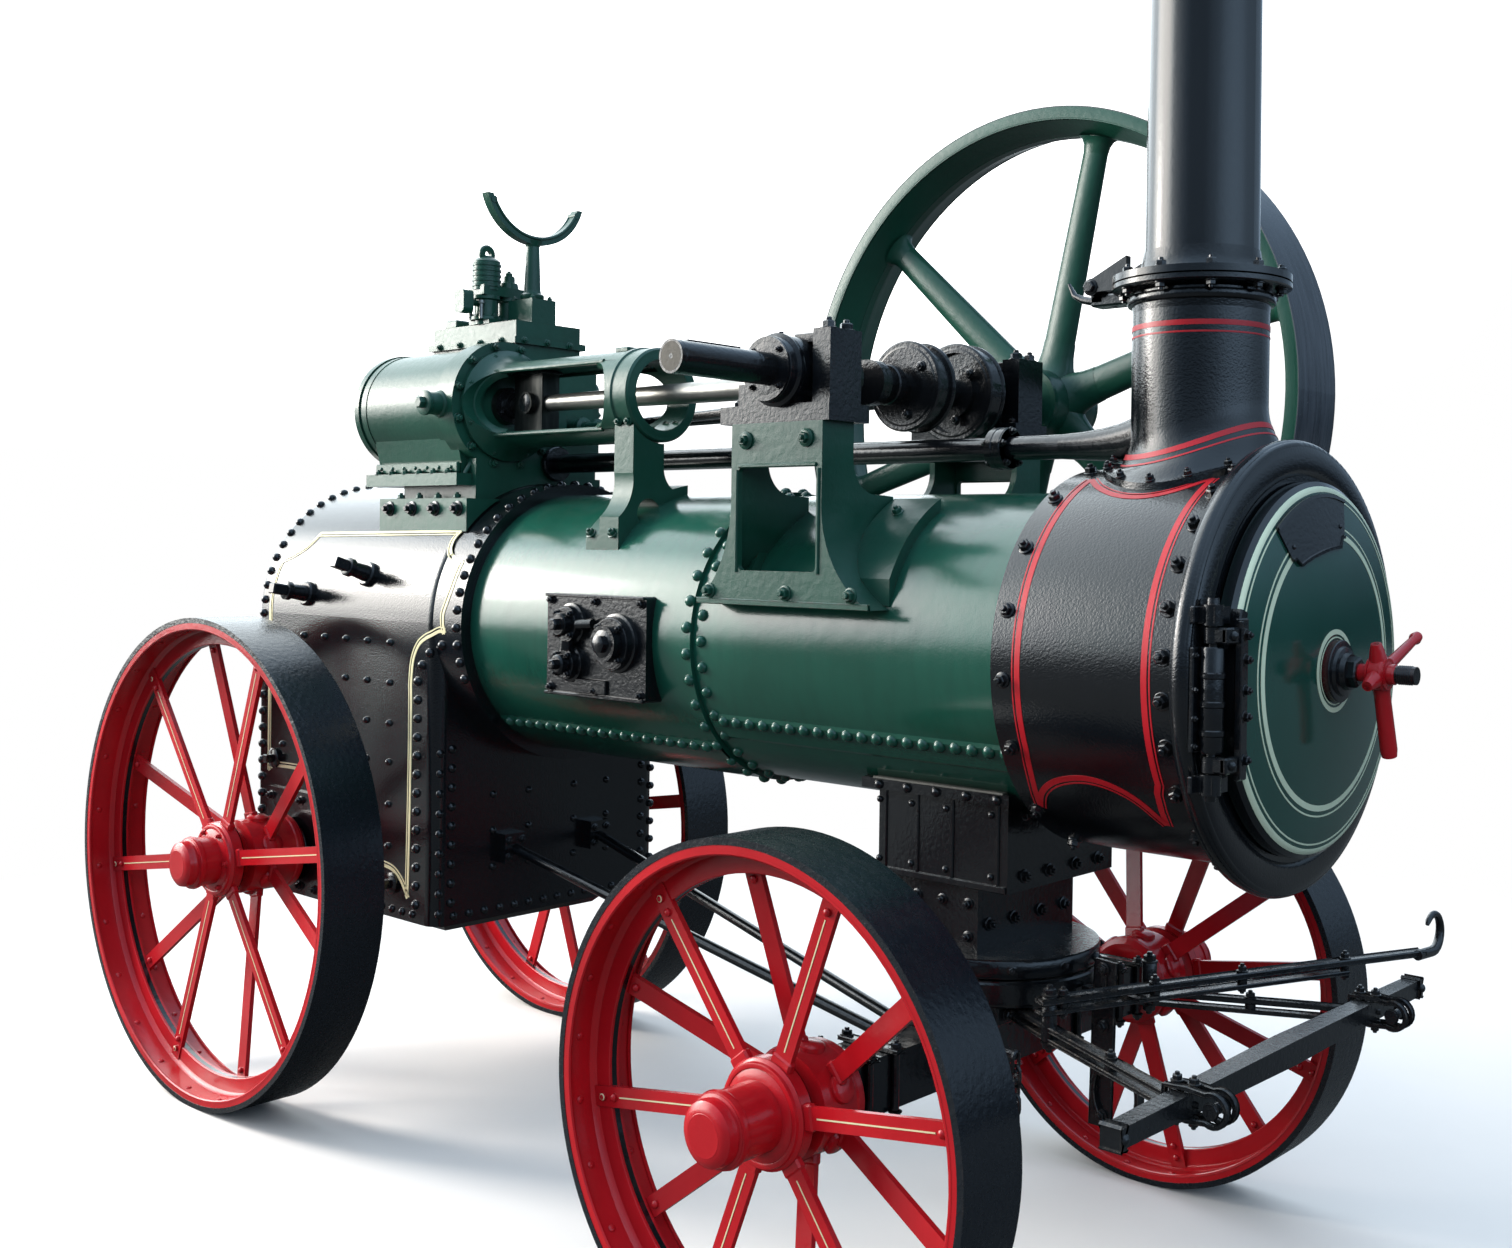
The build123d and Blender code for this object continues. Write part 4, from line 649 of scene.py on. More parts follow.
# Red panel lines on the smokebox
s = Shape()
left_run = [(2.600, 21.6)] + [(2.600, a) for a in range(24, 116, 3)]
left_run += [(2.597, 118), (2.591, 125), (2.583, 131), (2.577, 136)]
right_run = [(2.880, 22.5)] + [(2.880, a) for a in range(25, 122, 3)]
right_run += [(2.872, 124), (2.866, 130.5), (2.861, 136.8)]
top_arc = curve([(2.600, 21.6), (2.64, 27.6), (2.69, 32.0), (2.74, 33.8), (2.79, 33.0), (2.836, 29.3), (2.88, 22.5)], 6)
low_arc = curve([(2.577, 136.0), (2.60, 129.6), (2.638, 124.9), (2.69, 122.3), (2.74, 122.1), (2.79, 124.4),
    (2.83, 129.0), (2.861, 136.8)], 6)
for side in (-1, 1):
    for run, inward in ((left_run, 1), (right_run, -1), (top_arc, -1), (low_arc, 1)):
        P, N = zip(*[shell(x, -side * a, R_SMOKE) for x, a in run])
        s.line(list(P), list(N), 0.0125, 0.0009)
        s.line(list(P), list(N), 0.003, 0.0009, shift=0.0115 * inward * side)
for z, w, low in ((2.048, 0.0105, 0), (2.030, 0.0035, 0), (0.0, 0.011, 1), (-0.017, 0.0035, 1)):
    rows = []
    for k in range(97):
        a = 2 * pi * k / 96
        ring = []
        for q, lift in ((-0.5, -0.003), (-0.5, 0.0009), (0.0, 0.0010), (0.5, 0.0009), (0.5, -0.003)):
            h = z + low * band_z(a) + w * q
            r = foot_r(h, a) + lift
            ring.append(at(CHIM_X + r * cos(a), r * sin(a), h))
        rows.append(s.row(ring))
    s.skin(rows, back=True)
s.make("red_lines", "engine", red_line)

# Two rows of bolts round the smokebox
s = Shape()
for side in (-1, 1):
    for a in (14, 34.5, 54.7, 74.5, 94.2, 114.2, 137.5, 160):
        p, n = shell(2.566, side * a, R_SMOKE)
        s.bolt(p, n, 0.0125, 0.014, turn=a)
    for a in (20, 33.1, 46.2, 59.6, 72.1, 85, 96.5, 109.1, 123, 139.9, 154, 167.5):
        p, n = shell(2.918, side * a, R_SMOKE)
        s.bolt(p, n, 0.0135, 0.016, turn=a)
s.make("smokebox_bolts", "engine", black_cast, "black_paint")


DC = circle3((3.035, 0.348), (3.057, 0.181), (3.065, 0.060))


def door_x(r):
    """Where the dished door's face stands along x at a radius."""
    if r < 0.06:
        return 3.065
    if r > 0.348:
        return 3.035 - (r - 0.348) * 0.85
    return DC[0] + (DC[2] ** 2 - (r - DC[1]) ** 2) ** 0.5


# Door: rings, boss, blank plate, hinge bolts and handles
s = Shape()
for r0, r1 in ((0.3420, 0.3530), (0.3320, 0.3352), (0.2580, 0.2695), (0.2775, 0.2808), (0.0700, 0.0795),
        (0.0630, 0.0655)):
    face = [(door_x(r) + 0.0007, r) for r in [r1 + (r0 - r1) * k / 3 for k in range(4)]]
    prof = [(door_x(r1) - 0.0015, r1)] + face + [(door_x(r0) - 0.0015, r0)]
    s.lathe(at(0, 0, BZ), X, prof, 120)
s.make("door_rings", "smokebox_door", pale)
s = Shape()
s.lathe(at(0, 0, BZ), X, [(3.076, 0.060), (3.079, 0.058), (3.080, 0.048), (3.086, 0.046), (3.088, 0.036),
    (3.098, 0.034), (3.099, 0.0)], 40)
s.lathe(at(0, 0, BZ), X, [(3.098, 0.030), (3.112, 0.030), (3.115, 0.026), (3.115, 0.017)], 6, turn=0.3)
thread = [(3.190 + 0.002 * k, 0.0185 if k % 2 else 0.0165) for k in range(15)]
s.lathe(at(0, 0, BZ), X, [(3.188, 0.017)] + thread + [(3.2245, 0.0145), (3.2245, 0)], 16)
rows = []
for k in range(21):
    a = rad(70 + 46 * k / 20)
    d = Vector((0, -sin(a), cos(a)))
    section = ((3.022, 0.3632), (3.043, 0.3632), (3.046, 0.3605), (3.0475, 0.343), (3.0445, 0.3395), (3.030, 0.3390))
    rows.append(s.row([at(x, 0, BZ) + d * r for x, r in section]))
s.skin(rows)
s.ends(rows)
for z in (1.455, 1.412, 1.358, 1.312, 1.236):
    s.bolt(at(3.057, -0.347, z), X, 0.0085, 0.010, turn=z * 40)
for dz in (-0.146, 0.079):
    s.dome(at(3.058, -0.392, BZ + dz), X, 0.009, 0.008)
s.make("door_fittings", "smokebox_door", black_cast, "black_paint")
s = Shape()
for z in (1.230, 1.455):
    s.lathe(at(PIN_X, PIN_Y, z), Z, [(-0.015, 0.0102), (-0.015, 0.0145), (-0.0135, 0.016), (0.0135, 0.016),
        (0.015, 0.0145), (0.015, 0.0102)], 28)
    s.box(at(3.040, PIN_Y, z), X, Y, Z, 0.016, 0.012, 0.0145, 0.004)
    s.box(at(3.0505, -0.376, z), X, Y, Z, 0.0070, 0.036, 0.0145, 0.004)
s.box(at(3.0520, -0.352, 1.3425), X, Y, Z, 0.0050, 0.0165, 0.142, 0.003)
s.box(at(3.0565, -0.3655, 1.3425), X, Y, Z, 0.0050, 0.0035, 0.138, 0.002)
piece = s.make("door_leaf", "smokebox_door", black_cast, "black_paint")
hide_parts("door_straps")
s = Shape()
rows = []
for j in range(25):
    a = rad(-37 + 50 * j / 24)
    rin = 0.240 - 0.012 * sin(pi * j / 24) + (0.02 if min(j, 24 - j) < 2 else 0)
    section = ((rin, -0.002), (rin, 0.007), (rin + 0.006, 0.0075), (rin + 0.007, 0.0045), (0.331, 0.0045),
        (0.332, 0.0075), (0.3385, 0.007), (0.3385, -0.002))
    rows.append(s.row([at(door_x(r) + lift, r * sin(a), BZ + r * cos(a)) for r, lift in section]))
s.skin(rows, back=True)
s.face(rows[0])
s.face(rows[-1][::-1])
for a in (rad(-33), rad(9)):
    s.dome(at(door_x(0.28) + 0.004, 0.28 * sin(a), BZ + 0.28 * cos(a)), X, 0.005, 0.004)
s.make("door_plate", "smokebox_door", black_cast, "black_paint")
s = Shape()
LONG = [(0.02, 0.020), (0.035, 0.014), (0.06, 0.0115), (0.13, 0.010), (0.165, 0.009), (0.175, 0.0125),
    (0.188, 0.0105), (0.190, 0)]
GRIP = [(0.02, 0.020), (0.034, 0.0165), (0.045, 0.0155), (0.155, 0.0165), (0.168, 0.0145), (0.170, 0)]
STUB = [(0.02, 0.019), (0.05, 0.013), (0.060, 0.010), (0.060, 0)]
for angle, prof in ((20, LONG), (288, GRIP), (200, STUB), (108, STUB)):
    s.lathe(at(3.153, 0, BZ), Vector((0, cos(rad(angle)), sin(rad(angle)))), prof, 18)
s.lathe(at(0, 0, BZ), X, [(3.134, 0.018), (3.136, 0.028), (3.142, 0.0325), (3.164, 0.0325), (3.170, 0.028),
    (3.172, 0.020), (3.184, 0.0195), (3.186, 0.017)], 28)
s.make("door_handles", "smokebox_door", red, "red_wheel")

# Door hinge: knuckles, pin ends, strip with its bolts and sleeve
s = Shape()
for z0, z1 in ((1.180, 1.210), (1.475, 1.505)):
    s.lathe(at(PIN_X, PIN_Y, 0), Z, [(z0 - 0.004, 0.012), (z0 - 0.003, 0.019), (z1 + 0.003, 0.019),
        (z1 + 0.004, 0.012), (z1 + 0.004, 0)], 18)
s.lathe(at(PIN_X, PIN_Y, 0), Z, [(1.509, 0.0), (1.520, 0.0), (1.520, 0.011), (1.509, 0.012)][::-1], 14)
s.lathe(at(PIN_X, PIN_Y, 0), -Z, [(-1.176, 0.012), (-1.166, 0.010), (-1.166, 0)], 14)
for z, h in ((1.3425, 0.0915), (1.4905, 0.015), (1.1945, 0.015)):
    s.box(at(2.9985, -0.404, z), X, Y, Z, 0.0045, 0.030, h, 0.003)
s.lathe(at(PIN_X, PIN_Y, 0), Z, [(1.250, 0.012), (1.250, 0.0195), (1.254, 0.0215), (1.431, 0.0215), (1.435, 0.0195),
    (1.435, 0.012)], 24)
for z in (1.285, 1.335, 1.385):
    s.lathe(at(PIN_X, PIN_Y, 0), Z, [(z - 0.006, 0.0215), (z - 0.004, 0.0235), (z + 0.004, 0.0235),
        (z + 0.006, 0.0215)], 24)
for z in (1.262, 1.31, 1.36, 1.42):
    s.bolt(at(3.002, -0.4275, z), X, 0.0055, 0.006, turn=z * 7)
s.make("hinge_fittings", "engine", black_cast, "black_paint")

# Rounded ring at the front of the smokebox
s = Shape()
s.lathe(at(0, 0, BZ), X, [(2.9430, 0.3935), (2.9438, 0.4050), (2.9465, 0.4170), (2.9515, 0.4285), (2.9590, 0.4375),
    (2.9680, 0.4430), (2.9770, 0.4447), (2.9855, 0.4420), (2.9925, 0.4355), (2.9970, 0.4265), (2.9990, 0.4150),
    (2.9996, 0.4000), (2.9993, 0.3850), (2.9975, 0.3765), (2.9935, 0.3715)], 144)
s.make("smokebox_nose", "engine", black_lumpy, "black_paint")

# Chimney foot: straight neck, quick flare and skirt on the smokebox, flange and fold lug
s = Shape()
rows = []
for k in range(97):
    a = 2 * pi * k / 96
    zb = band_z(a)
    ring = []
    for z in (2.092, 2.05, 2.0, 1.95, zb + 0.05, zb + 0.036, zb + 0.022, zb + 0.01, zb, zb - 0.01, zb - 0.02):
        r = foot_r(z, a)
        ring.append(at(CHIM_X + r * cos(a), r * sin(a), z))
    z0 = zb - 0.02
    r0 = foot_r(z0, a)
    for j in range(1, 10):
        t = min(1.0, j / 8)
        rx, ry = r0 + ((0.176 if cos(a) > 0 else 0.190) - r0) * t, r0 + (0.196 - r0) * t
        x, y = rx * cos(a), ry * sin(a)
        low = seat_z(y)
        z = z0 + (low + 0.010 - z0) * (1 - (1 - t) ** 1.7) if j < 9 else low - 0.004
        ring.append(at(CHIM_X + x, y, z))
    rows.append(s.row(ring))
s.skin(rows)
for k in range(14):
    a = 2 * pi * (k + 0.5) / 14
    x, y = (0.168 if cos(a) > 0 else 0.181) * cos(a), 0.187 * sin(a)
    low = seat_z(y)
    s.bolt(at(CHIM_X + x, y, low + 0.012), Vector((0, y, low - BZ)), 0.0085, 0.010, turn=k)
s.lathe(at(CHIM_X, 0, 0), -Z, [(-2.1395, 0.0), (-2.1395, 0.176), (-2.1375, 0.180), (-2.1285, 0.180),
    (-2.1265, 0.176), (-2.1265, 0.150), (-2.120, 0.1385), (-2.116, 0.1385), (-2.114, 0.147), (-2.111, 0.149),
    (-2.099, 0.149), (-2.096, 0.147), (-2.094, 0.1385), (-2.080, 0.1375)], 96)
s.box(at(2.568, 0, 2.1265), X, Y, Z, 0.058, 0.024, 0.0125, 0.004)
s.lathe(at(2.526, 0, 2.152), Y, [(-0.024, 0.0), (-0.024, 0.014), (-0.022, 0.016), (0.022, 0.016), (0.024, 0.014),
    (0.024, 0)], 24)
s.box(at(2.526, 0, 2.134), X, Y, Z, 0.016, 0.024, 0.014, 0.003)
s.lathe(at(2.526, 0, 2.152), Y, [(-0.050, 0), (-0.050, 0.008), (0.050, 0.008), (0.050, 0)], 16)
piece = s.make("chimney_foot", "engine", black_lumpy, "black_paint")
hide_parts("chimney_base")

# Chimney: flange bolts, beads, seam with its rivets, hinge nuts, tongue of the foot
s = Shape()
for k, x, y in circle(10, 18, 0.160):
    s.bolt(at(CHIM_X + x, y, 2.155), Z, 0.011, 0.013, turn=k)
s.lathe(at(CHIM_X, 0, 0), Z, [(2.154, 0.140), (2.158, 0.133), (2.168, 0.1255), (2.184, 0.1205), (2.204, 0.1175),
    (2.206, 0.10)], 64)
s.lathe(at(CHIM_X, 0, 0), Z, [(4.392, 0.160), (4.396, 0.1645), (4.399, 0.160), (4.399, 0.15)], 64)
for k in range(26):
    z = 2.26 + 0.075 * k
    r = 0.1155 - 0.0135 * (z - 2.15) / 2.06
    s.dome(at(CHIM_X - r, 0, z), -X, 0.007, 0.005, 8)
s.box(at(CHIM_X - 0.109, 0, 3.2), X, Y, Vector((0.0066, 0, 1)), 0.0035, 0.022, 0.98, 0.001)
for side, nn in SIDES:
    s.bolt(at(2.526, side * 0.047, 2.152), nn, 0.013, 0.012, stud=False)
s.make("chimney_fittings", "chimney", black_cast, "black_paint")
s = Shape()
for k, x, y in circle(10, 18, 0.160):
    s.bolt(at(CHIM_X + x, y, 2.126), -Z, 0.010, 0.011, turn=k)
s.tube([at(2.560, 0, 2.122), at(2.515, 0, 2.126), at(2.480, 0, 2.134), at(2.455, 0, 2.146), at(2.440, 0, 2.172)],
    [0.016, 0.0155, 0.014, 0.010, 0.005], 12, flat=0.6)
s.make("chimney_base_fittings", "engine", black_cast, "black_paint")

# Cylinder: nuts of both covers, bands, near strip and boss, saddle nuts, chest bolts, drain pipes
s = Shape()
for k, y, z in circle(12, 15, 0.1665):
    s.bolt(at(CX1, CY + y, SZ + z), X, 0.0105, 0.013, turn=k)
for k, y, z in circle(10, 18, 0.142):
    s.bolt(at(CX0 - 0.008, CY + y, SZ + z), -X, 0.0105, 0.012, turn=k)
for x in (0.205, 0.555):
    s.lathe(at(0, CY, SZ), X, [(x - 0.012, 0.164), (x - 0.012, 0.1668), (x + 0.012, 0.1668), (x + 0.012, 0.164)], 72)
s.box(at(0.42, -0.277, 1.8025), X, Y, Z, 0.2, 0.0065, 0.0145, 0.003)
for k in range(7):
    s.dome(at(0.25 + 0.057 * k, -0.283, 1.803), -Y, 0.006, 0.005, 8)
for k in range(6):
    s.bolt(at(0.25 + 0.068 * k, -0.292, 1.786), Z, 0.009, 0.010, turn=k)
s.lathe(at(0.600, 0, SZ - 0.004), -Y, [(0.324, 0.038), (0.332, 0.036), (0.336, 0.031), (0.366, 0.030),
    (0.370, 0.034), (0.378, 0.034), (0.381, 0.028), (0.381, 0)], 28)
s.lathe(at(0.600, 0, SZ - 0.004), -Y, [(0.379, 0.017), (0.394, 0.017), (0.397, 0.013), (0.397, 0)], 6)
for side in (-1, 1):
    for x in (0.33, 0.42, 0.51, 0.60):
        s.bolt(at(x + 0.025, side * 0.285, 1.716), Z, 0.010, 0.012, turn=x * 11)
for x in (0.28, 0.38, 0.48, 0.58):
    s.bolt(at(x, -0.112, 2.171), -Y, 0.0085, 0.009, turn=x * 11)
for y in (-0.08, 0.0, 0.08):
    s.bolt(at(0.642, y, 2.171), X, 0.0085, 0.009, turn=y * 11)
s.box(at(0.30, -0.04, 2.240), X, Y, Z, 0.03, 0.05, 0.013, 0.004)
for x in (0.20, 0.63):
    s.tube([at(x, -0.235, 1.83), at(x, -0.262, 1.79), at(x, -0.268, 1.755)], 0.007, 10)
s.make("cylinder_fittings", "engine", green_cast, "green_paint")
s = Shape()
for side, nn in SIDES:
    for x in (0.324, 0.434, 0.545, 0.652):
        s.bolt(at(x, side * 0.300, 1.688), nn, 0.0165, 0.018, turn=x * 9)
s.make("saddle_nuts", "engine", black_cast, "black_paint")

# Far-side chest cover nuts and the valve rods
s = Shape()
for k in range(5):
    for dz in (-0.122, 0.122):
        s.bolt(at(0.27 + 0.075 * k, 0.224, 1.943 + dz), Y, 0.0105, 0.013, turn=k)
for dz in (-0.04, 0.04):
    for x in (0.252, 0.588):
        s.bolt(at(x, 0.224, 1.943 + dz), Y, 0.0105, 0.013)
s.box(at(0.42, 0.2255, 1.943), X, Y, Z, 0.115, 0.004, 0.072, 0.003)
for y in (0.105, 0.160):
    s.lathe(at(0, y, 1.937), X, [(0.662, 0.024), (0.672, 0.027), (0.684, 0.027), (0.688, 0.016), (0.70, 0.015),
        (0.70, 0.0)], 20)
s.make("chest_fittings", "engine", green_cast, "green_paint")
s = Shape()
for y, y1, x1 in ((0.105, 0.040, 1.835), (0.160, 0.219, 1.825)):
    s.box(at(0.815, y, 1.937), X, Y, Z, 0.036, 0.019, 0.021, 0.006)
    s.tube([at(0.84, y, 1.937), at(1.25, y + (y1 - y) * 0.42, 1.947), at(x1, y1, 1.966)], [0.0125, 0.014, 0.0125], 12)
    s.bolt(at(0.815, y - 0.019, 1.937), -Y, 0.012, 0.010)
s.make("valve_rods", "engine", dark_steel, "dark_steel")

# Safety valves: ribs, top ring, flanges with bolts, small plate, pins
s = Shape()
vx, vy, vz = 0.458, -0.078, 2.228
for k in range(5):
    h = 0.108 + 0.015 * k
    s.lathe(at(vx, vy, vz), Z, [(h, 0.0385), (h + 0.002, 0.0415), (h + 0.008, 0.0415), (h + 0.010, 0.0385)], 28)
s.lathe(at(vx, vy, vz), Z, [(0.184, 0.039), (0.192, 0.030), (0.194, 0.022), (0.200, 0.016), (0.200, 0)], 28)
s.tube([at(vx, vy + y, vz + 0.206 + z) for k, z, y in circle(20, 0, 0.020)], 0.0075, 8, closed=True)
for dy in (0.0, 0.078):
    s.lathe(at(vx, vy + dy, vz), Z, [(0.012, 0.045), (0.022, 0.043), (0.026, 0.034), (0.07, 0.0335), (0.074, 0.040),
        (0.084, 0.040), (0.086, 0.033)], 28)
    for k, x, y in circle(5, 0, 0.039):
        s.bolt(at(vx + x, vy + dy + y, vz + 0.022), Z, 0.0055, 0.007, turn=k)
s.lathe(at(vx, vy + 0.078, vz), Z, [(0.112, 0.030), (0.130, 0.026), (0.134, 0.018), (0.150, 0.017), (0.152, 0)], 24)
s.bolt(at(vx, vy + 0.078, vz + 0.150), Z, 0.011, 0.012)
s.box(at(vx, vy - 0.062, vz + 0.060), X, Y, Z, 0.021, 0.004, 0.030, 0.003)
s.make("valve_fittings", "engine", green_cast, "green_paint")
s = Shape()
for dx in (-0.026, 0.026):
    s.lathe(at(vx + dx, vy - 0.036, vz), Z, [(0.014, 0.006), (0.056, 0.006), (0.058, 0.009), (0.066, 0.009),
        (0.068, 0)], 12)
s.make("valve_pins", "engine", bright, "bright_steel")

# Chimney rest: rolled edge, collar and foot bolts
s = Shape()
angles = [rad(-62 + 124 * k / 24) for k in range(25)]
for dx in (-0.0145, 0.0145):
    s.tube([at(REST_X + dx, REST_R * sin(a), REST_Z - 0.1665 * cos(a)) for a in angles], 0.0045, 8)
for a in (angles[0], angles[-1]):
    s.tube([at(x, 0.166 * sin(a), REST_Z - 0.166 * cos(a)) for x in (0.553, 0.587)], 0.010, 12)
s.lathe(at(REST_X, 0, 0), Z, [(2.298, 0.030), (2.306, 0.034), (2.314, 0.034), (2.320, 0.026), (2.330, 0.0235)], 28)
for dx in (-0.042, 0.042):
    for dy in (-0.030, 0.030):
        s.bolt(at(REST_X + dx, dy, 2.298), Z, 0.0075, 0.009)
s.make("rest_fittings", "engine", green_cast, "green_paint")

# Trunk guide: nuts, edges of its windows, bracket bolts, crosshead
s = Shape()
for k, y, z in circle(8, 22.5, 0.142):
    s.bolt(at(CX1 + 0.014, CY + y, SZ + z), X, 0.008, 0.009, turn=k)
s.box(at(1.165, CY, SZ + 0.123), X, Y, Z, 0.026, 0.017, 0.007, 0.003)
for side in (-1, 1):
    h = 0.086
    for x0, way in ((0.664, 1), (1.234, -1)):
        rows = []
        for k in range(25):
            z = -h + 2 * h * k / 24
            n = Vector((0, side * (R_GUIDE ** 2 - z * z) ** 0.5, z)).normalized()
            cut = max(0.010, 0.010 + h - max(0.0, h * h - z * z) ** 0.5 * 0.96)
            section = ((0, 0.001), (cut - 0.004, 0.001), (cut, -0.002), (cut, -0.020), (0, -0.020))
            rows.append(s.row([at(x0 + way * dx, CY, SZ) + n * (R_GUIDE + lift) for dx, lift in section]))
        s.skin(rows if way * side > 0 else rows[::-1])
    for z in (-0.087, 0.087):
        n = Vector((0, side * (R_GUIDE ** 2 - z * z) ** 0.5, z)).normalized()
        s.tube([at(x, CY, SZ) + n * 0.1185 for x in (0.72, 1.175)], 0.0065, 10)
for dy, nn in ((-0.097, -Y), (0.059, Y)):
    for x in (1.255, 1.292):
        s.bolt(at(x, CY + dy, 1.905), nn, 0.009, 0.010)
for x in (1.205, 1.288):
    p, n = shell(x, 49.5, R1, 0.024)
    s.bolt(p, n, 0.011, 0.012)
s.lathe(at(0, CY, SZ), X, [(1.300, 0.117), (1.309, 0.114), (1.3105, 0.104), (1.3105, 0.092), (1.306, 0.090)], 64)
s.make("guide_fittings", "engine", green_cast, "green_paint")
s = Shape()
for side, nn in SIDES:
    s.lathe(at(0.800, CY, SZ), nn, [(0.028, 0.026), (0.044, 0.026), (0.047, 0.020), (0.047, 0)], 18)
    s.box(at(0.795, CY, SZ + side * 0.0835), X, Y, Z, 0.068, 0.034, 0.0035, 0.002)
s.lathe(at(0, CY, SZ), X, [(0.679, 0.052), (0.690, 0.050), (0.692, 0.036), (0.706, 0.036), (0.708, 0.030),
    (0.708, 0)], 28)
for k, y, z in circle(3, 90, 0.043):
    s.bolt(at(0.682, CY + y, SZ + z), X, 0.007, 0.012)
s.make("crosshead_fittings", "engine", dark_steel, "dark_steel")

# Crank brackets: bolts, strip and beads of the side plate, foot bolts
s = Shape()
for side, nn in SIDES:
    for x, z in ((1.866, 1.829), (2.047, 1.830)):
        s.lathe(at(x, side * PLATE_Y, z), nn, [(-0.001, 0.020), (0.004, 0.020), (0.006, 0.0165)], 20)
        s.bolt(at(x, side * 0.404, z), nn, 0.0125, 0.013, turn=x * 5)
    for x in (1.755, 1.99, 2.178):
        s.bolt(at(x, side * PLATE_Y, 1.497), nn, 0.0135, 0.014, turn=x * 5)
    s.strap([at(1.716, side * PLATE_Y, 1.474), at(2.228, side * PLATE_Y, 1.474)], Z, 0.014, 0.010)
    for x in (1.838, 2.083):
        s.tube([at(x, side * PLATE_Y, 1.54), at(x, side * PLATE_Y, 1.765)], 0.005, 8)
    s.tube([at(1.845, side * PLATE_Y, 1.773), at(2.076, side * PLATE_Y, 1.773)], 0.005, 8)
    for x in (1.775, 2.15):
        p, n = shell(x, -side * 36, R2, 0.024)
        s.bolt(p, n, 0.011, 0.012)
s.make("bracket_fittings", "engine", green_cast, "green_paint")

# Bearings: cap nuts, sole bolts, end rings, lids
s = Shape()
for side, nn in SIDES:
    for y in (0.312, 0.368):
        s.bolt(at(SX + 0.111, side * y, 2.063), Z, 0.0145, 0.017, turn=y * 30)
        s.bolt(at(SX - 0.030, side * y, SZ + 0.068), Z, 0.0125, 0.015, turn=y * 30)
    for x in (SX - 0.150, SX + 0.118):
        for y in (0.295, 0.375):
            s.bolt(at(x, side * y, 1.905), Z, 0.0115, 0.012, turn=x * y * 9)
    s.lathe(at(SX, 0, SZ), nn, [(0.404, 0.078), (0.408, 0.0795), (0.416, 0.0795), (0.420, 0.072), (0.438, 0.070),
        (0.4445, 0.064), (0.4455, 0.050), (0.4455, 0.040)], 48)
    for k, x, z in circle(4, 45, 0.055):
        s.bolt(at(SX + x, side * 0.4455, SZ + z), nn, 0.0065, 0.008, turn=k)
    s.box(at(SX + 0.055, side * 0.335, SZ + 0.079), X, Y, Z, 0.055, 0.024, 0.004, 0.003)
s.make("bearing_fittings", "engine", black_cast, "black_paint")

# Crankshaft: shaft ends, key, collars, rims of eccentric and sheave, pin ends, oil pot
s = Shape()
s.lathe(at(SX, 0, SZ), -Y, [(0.700, 0.0355), (0.711, 0.0345), (0.7148, 0.031), (0.7148, 0.006), (0.711, 0.003),
    (0.710, 0)], 40)
s.lathe(at(SX, 0, SZ), Y, [(0.762, 0.0365), (0.771, 0.0345), (0.7748, 0.031), (0.7748, 0.012), (0.769, 0.005),
    (0.766, 0)], 40)
s.box(at(SX, -0.600, SZ + 0.0345), X, Y, Z, 0.0065, 0.075, 0.003, 0.001)
for y0, y1, r in ((-0.27, -0.245, 0.050), (-0.052, -0.026, 0.048), (0.25, 0.27, 0.050)):
    s.collar(at(SX, 0, SZ), Y, y0, y1, 0.036, r, 32)
for y0, y1, ex, r in ((0.0, 0.066, 0.014, 0.102), (0.190, 0.248, 0.010, 0.116)):
    for a, b in ((y0 - 0.001, y0 + 0.013), (y1 - 0.013, y1 + 0.001)):
        s.lathe(at(SX + ex, 0, SZ), Y, [(a, r - 0.012), (a + 0.003, r + 0.002), (a + 0.005, r + 0.0045),
            (b - 0.005, r + 0.0045), (b - 0.003, r + 0.002), (b, r - 0.012)], 64)
    for k, x, z in circle(3, 40, 0.068):
        for y, out in ((y0 - 0.001, -Y), (y1 + 0.001, Y)):
            s.bolt(at(SX + ex + x, y, SZ + z), out, 0.010, 0.009, turn=k)
for y, out in ((-0.215, -Y), (-0.085, Y)):
    s.lathe(at(SX - THROW, y, SZ), out, [(-0.001, 0.040), (0.003, 0.040), (0.004, 0.030), (0.004, 0)], 28)
s.make("crank_fittings", "crankshaft", dark_steel, "dark_steel")
s = Shape()
s.lathe(at(SX, 0, SZ), -Y, [(0.7140, 0.0312), (0.7152, 0.0300), (0.7153, 0.0060), (0.7118, 0.0030), (0.7108, 0)], 40)
s.make("shaft_end", "crankshaft", end_steel, "dark_steel")
s = Shape()
for z in (-0.044, 0.044):
    s.bolt(at(SX - THROW + 0.051, CY, SZ + z), X, 0.013, 0.014)
s.lathe(at(SX - THROW - 0.008, CY, SZ + 0.056), Z, [(-0.001, 0.014), (0.012, 0.014), (0.014, 0.018), (0.030, 0.018),
    (0.032, 0)], 18)
s.make("big_end_fittings", "crankshaft", dark_steel, "dark_steel")

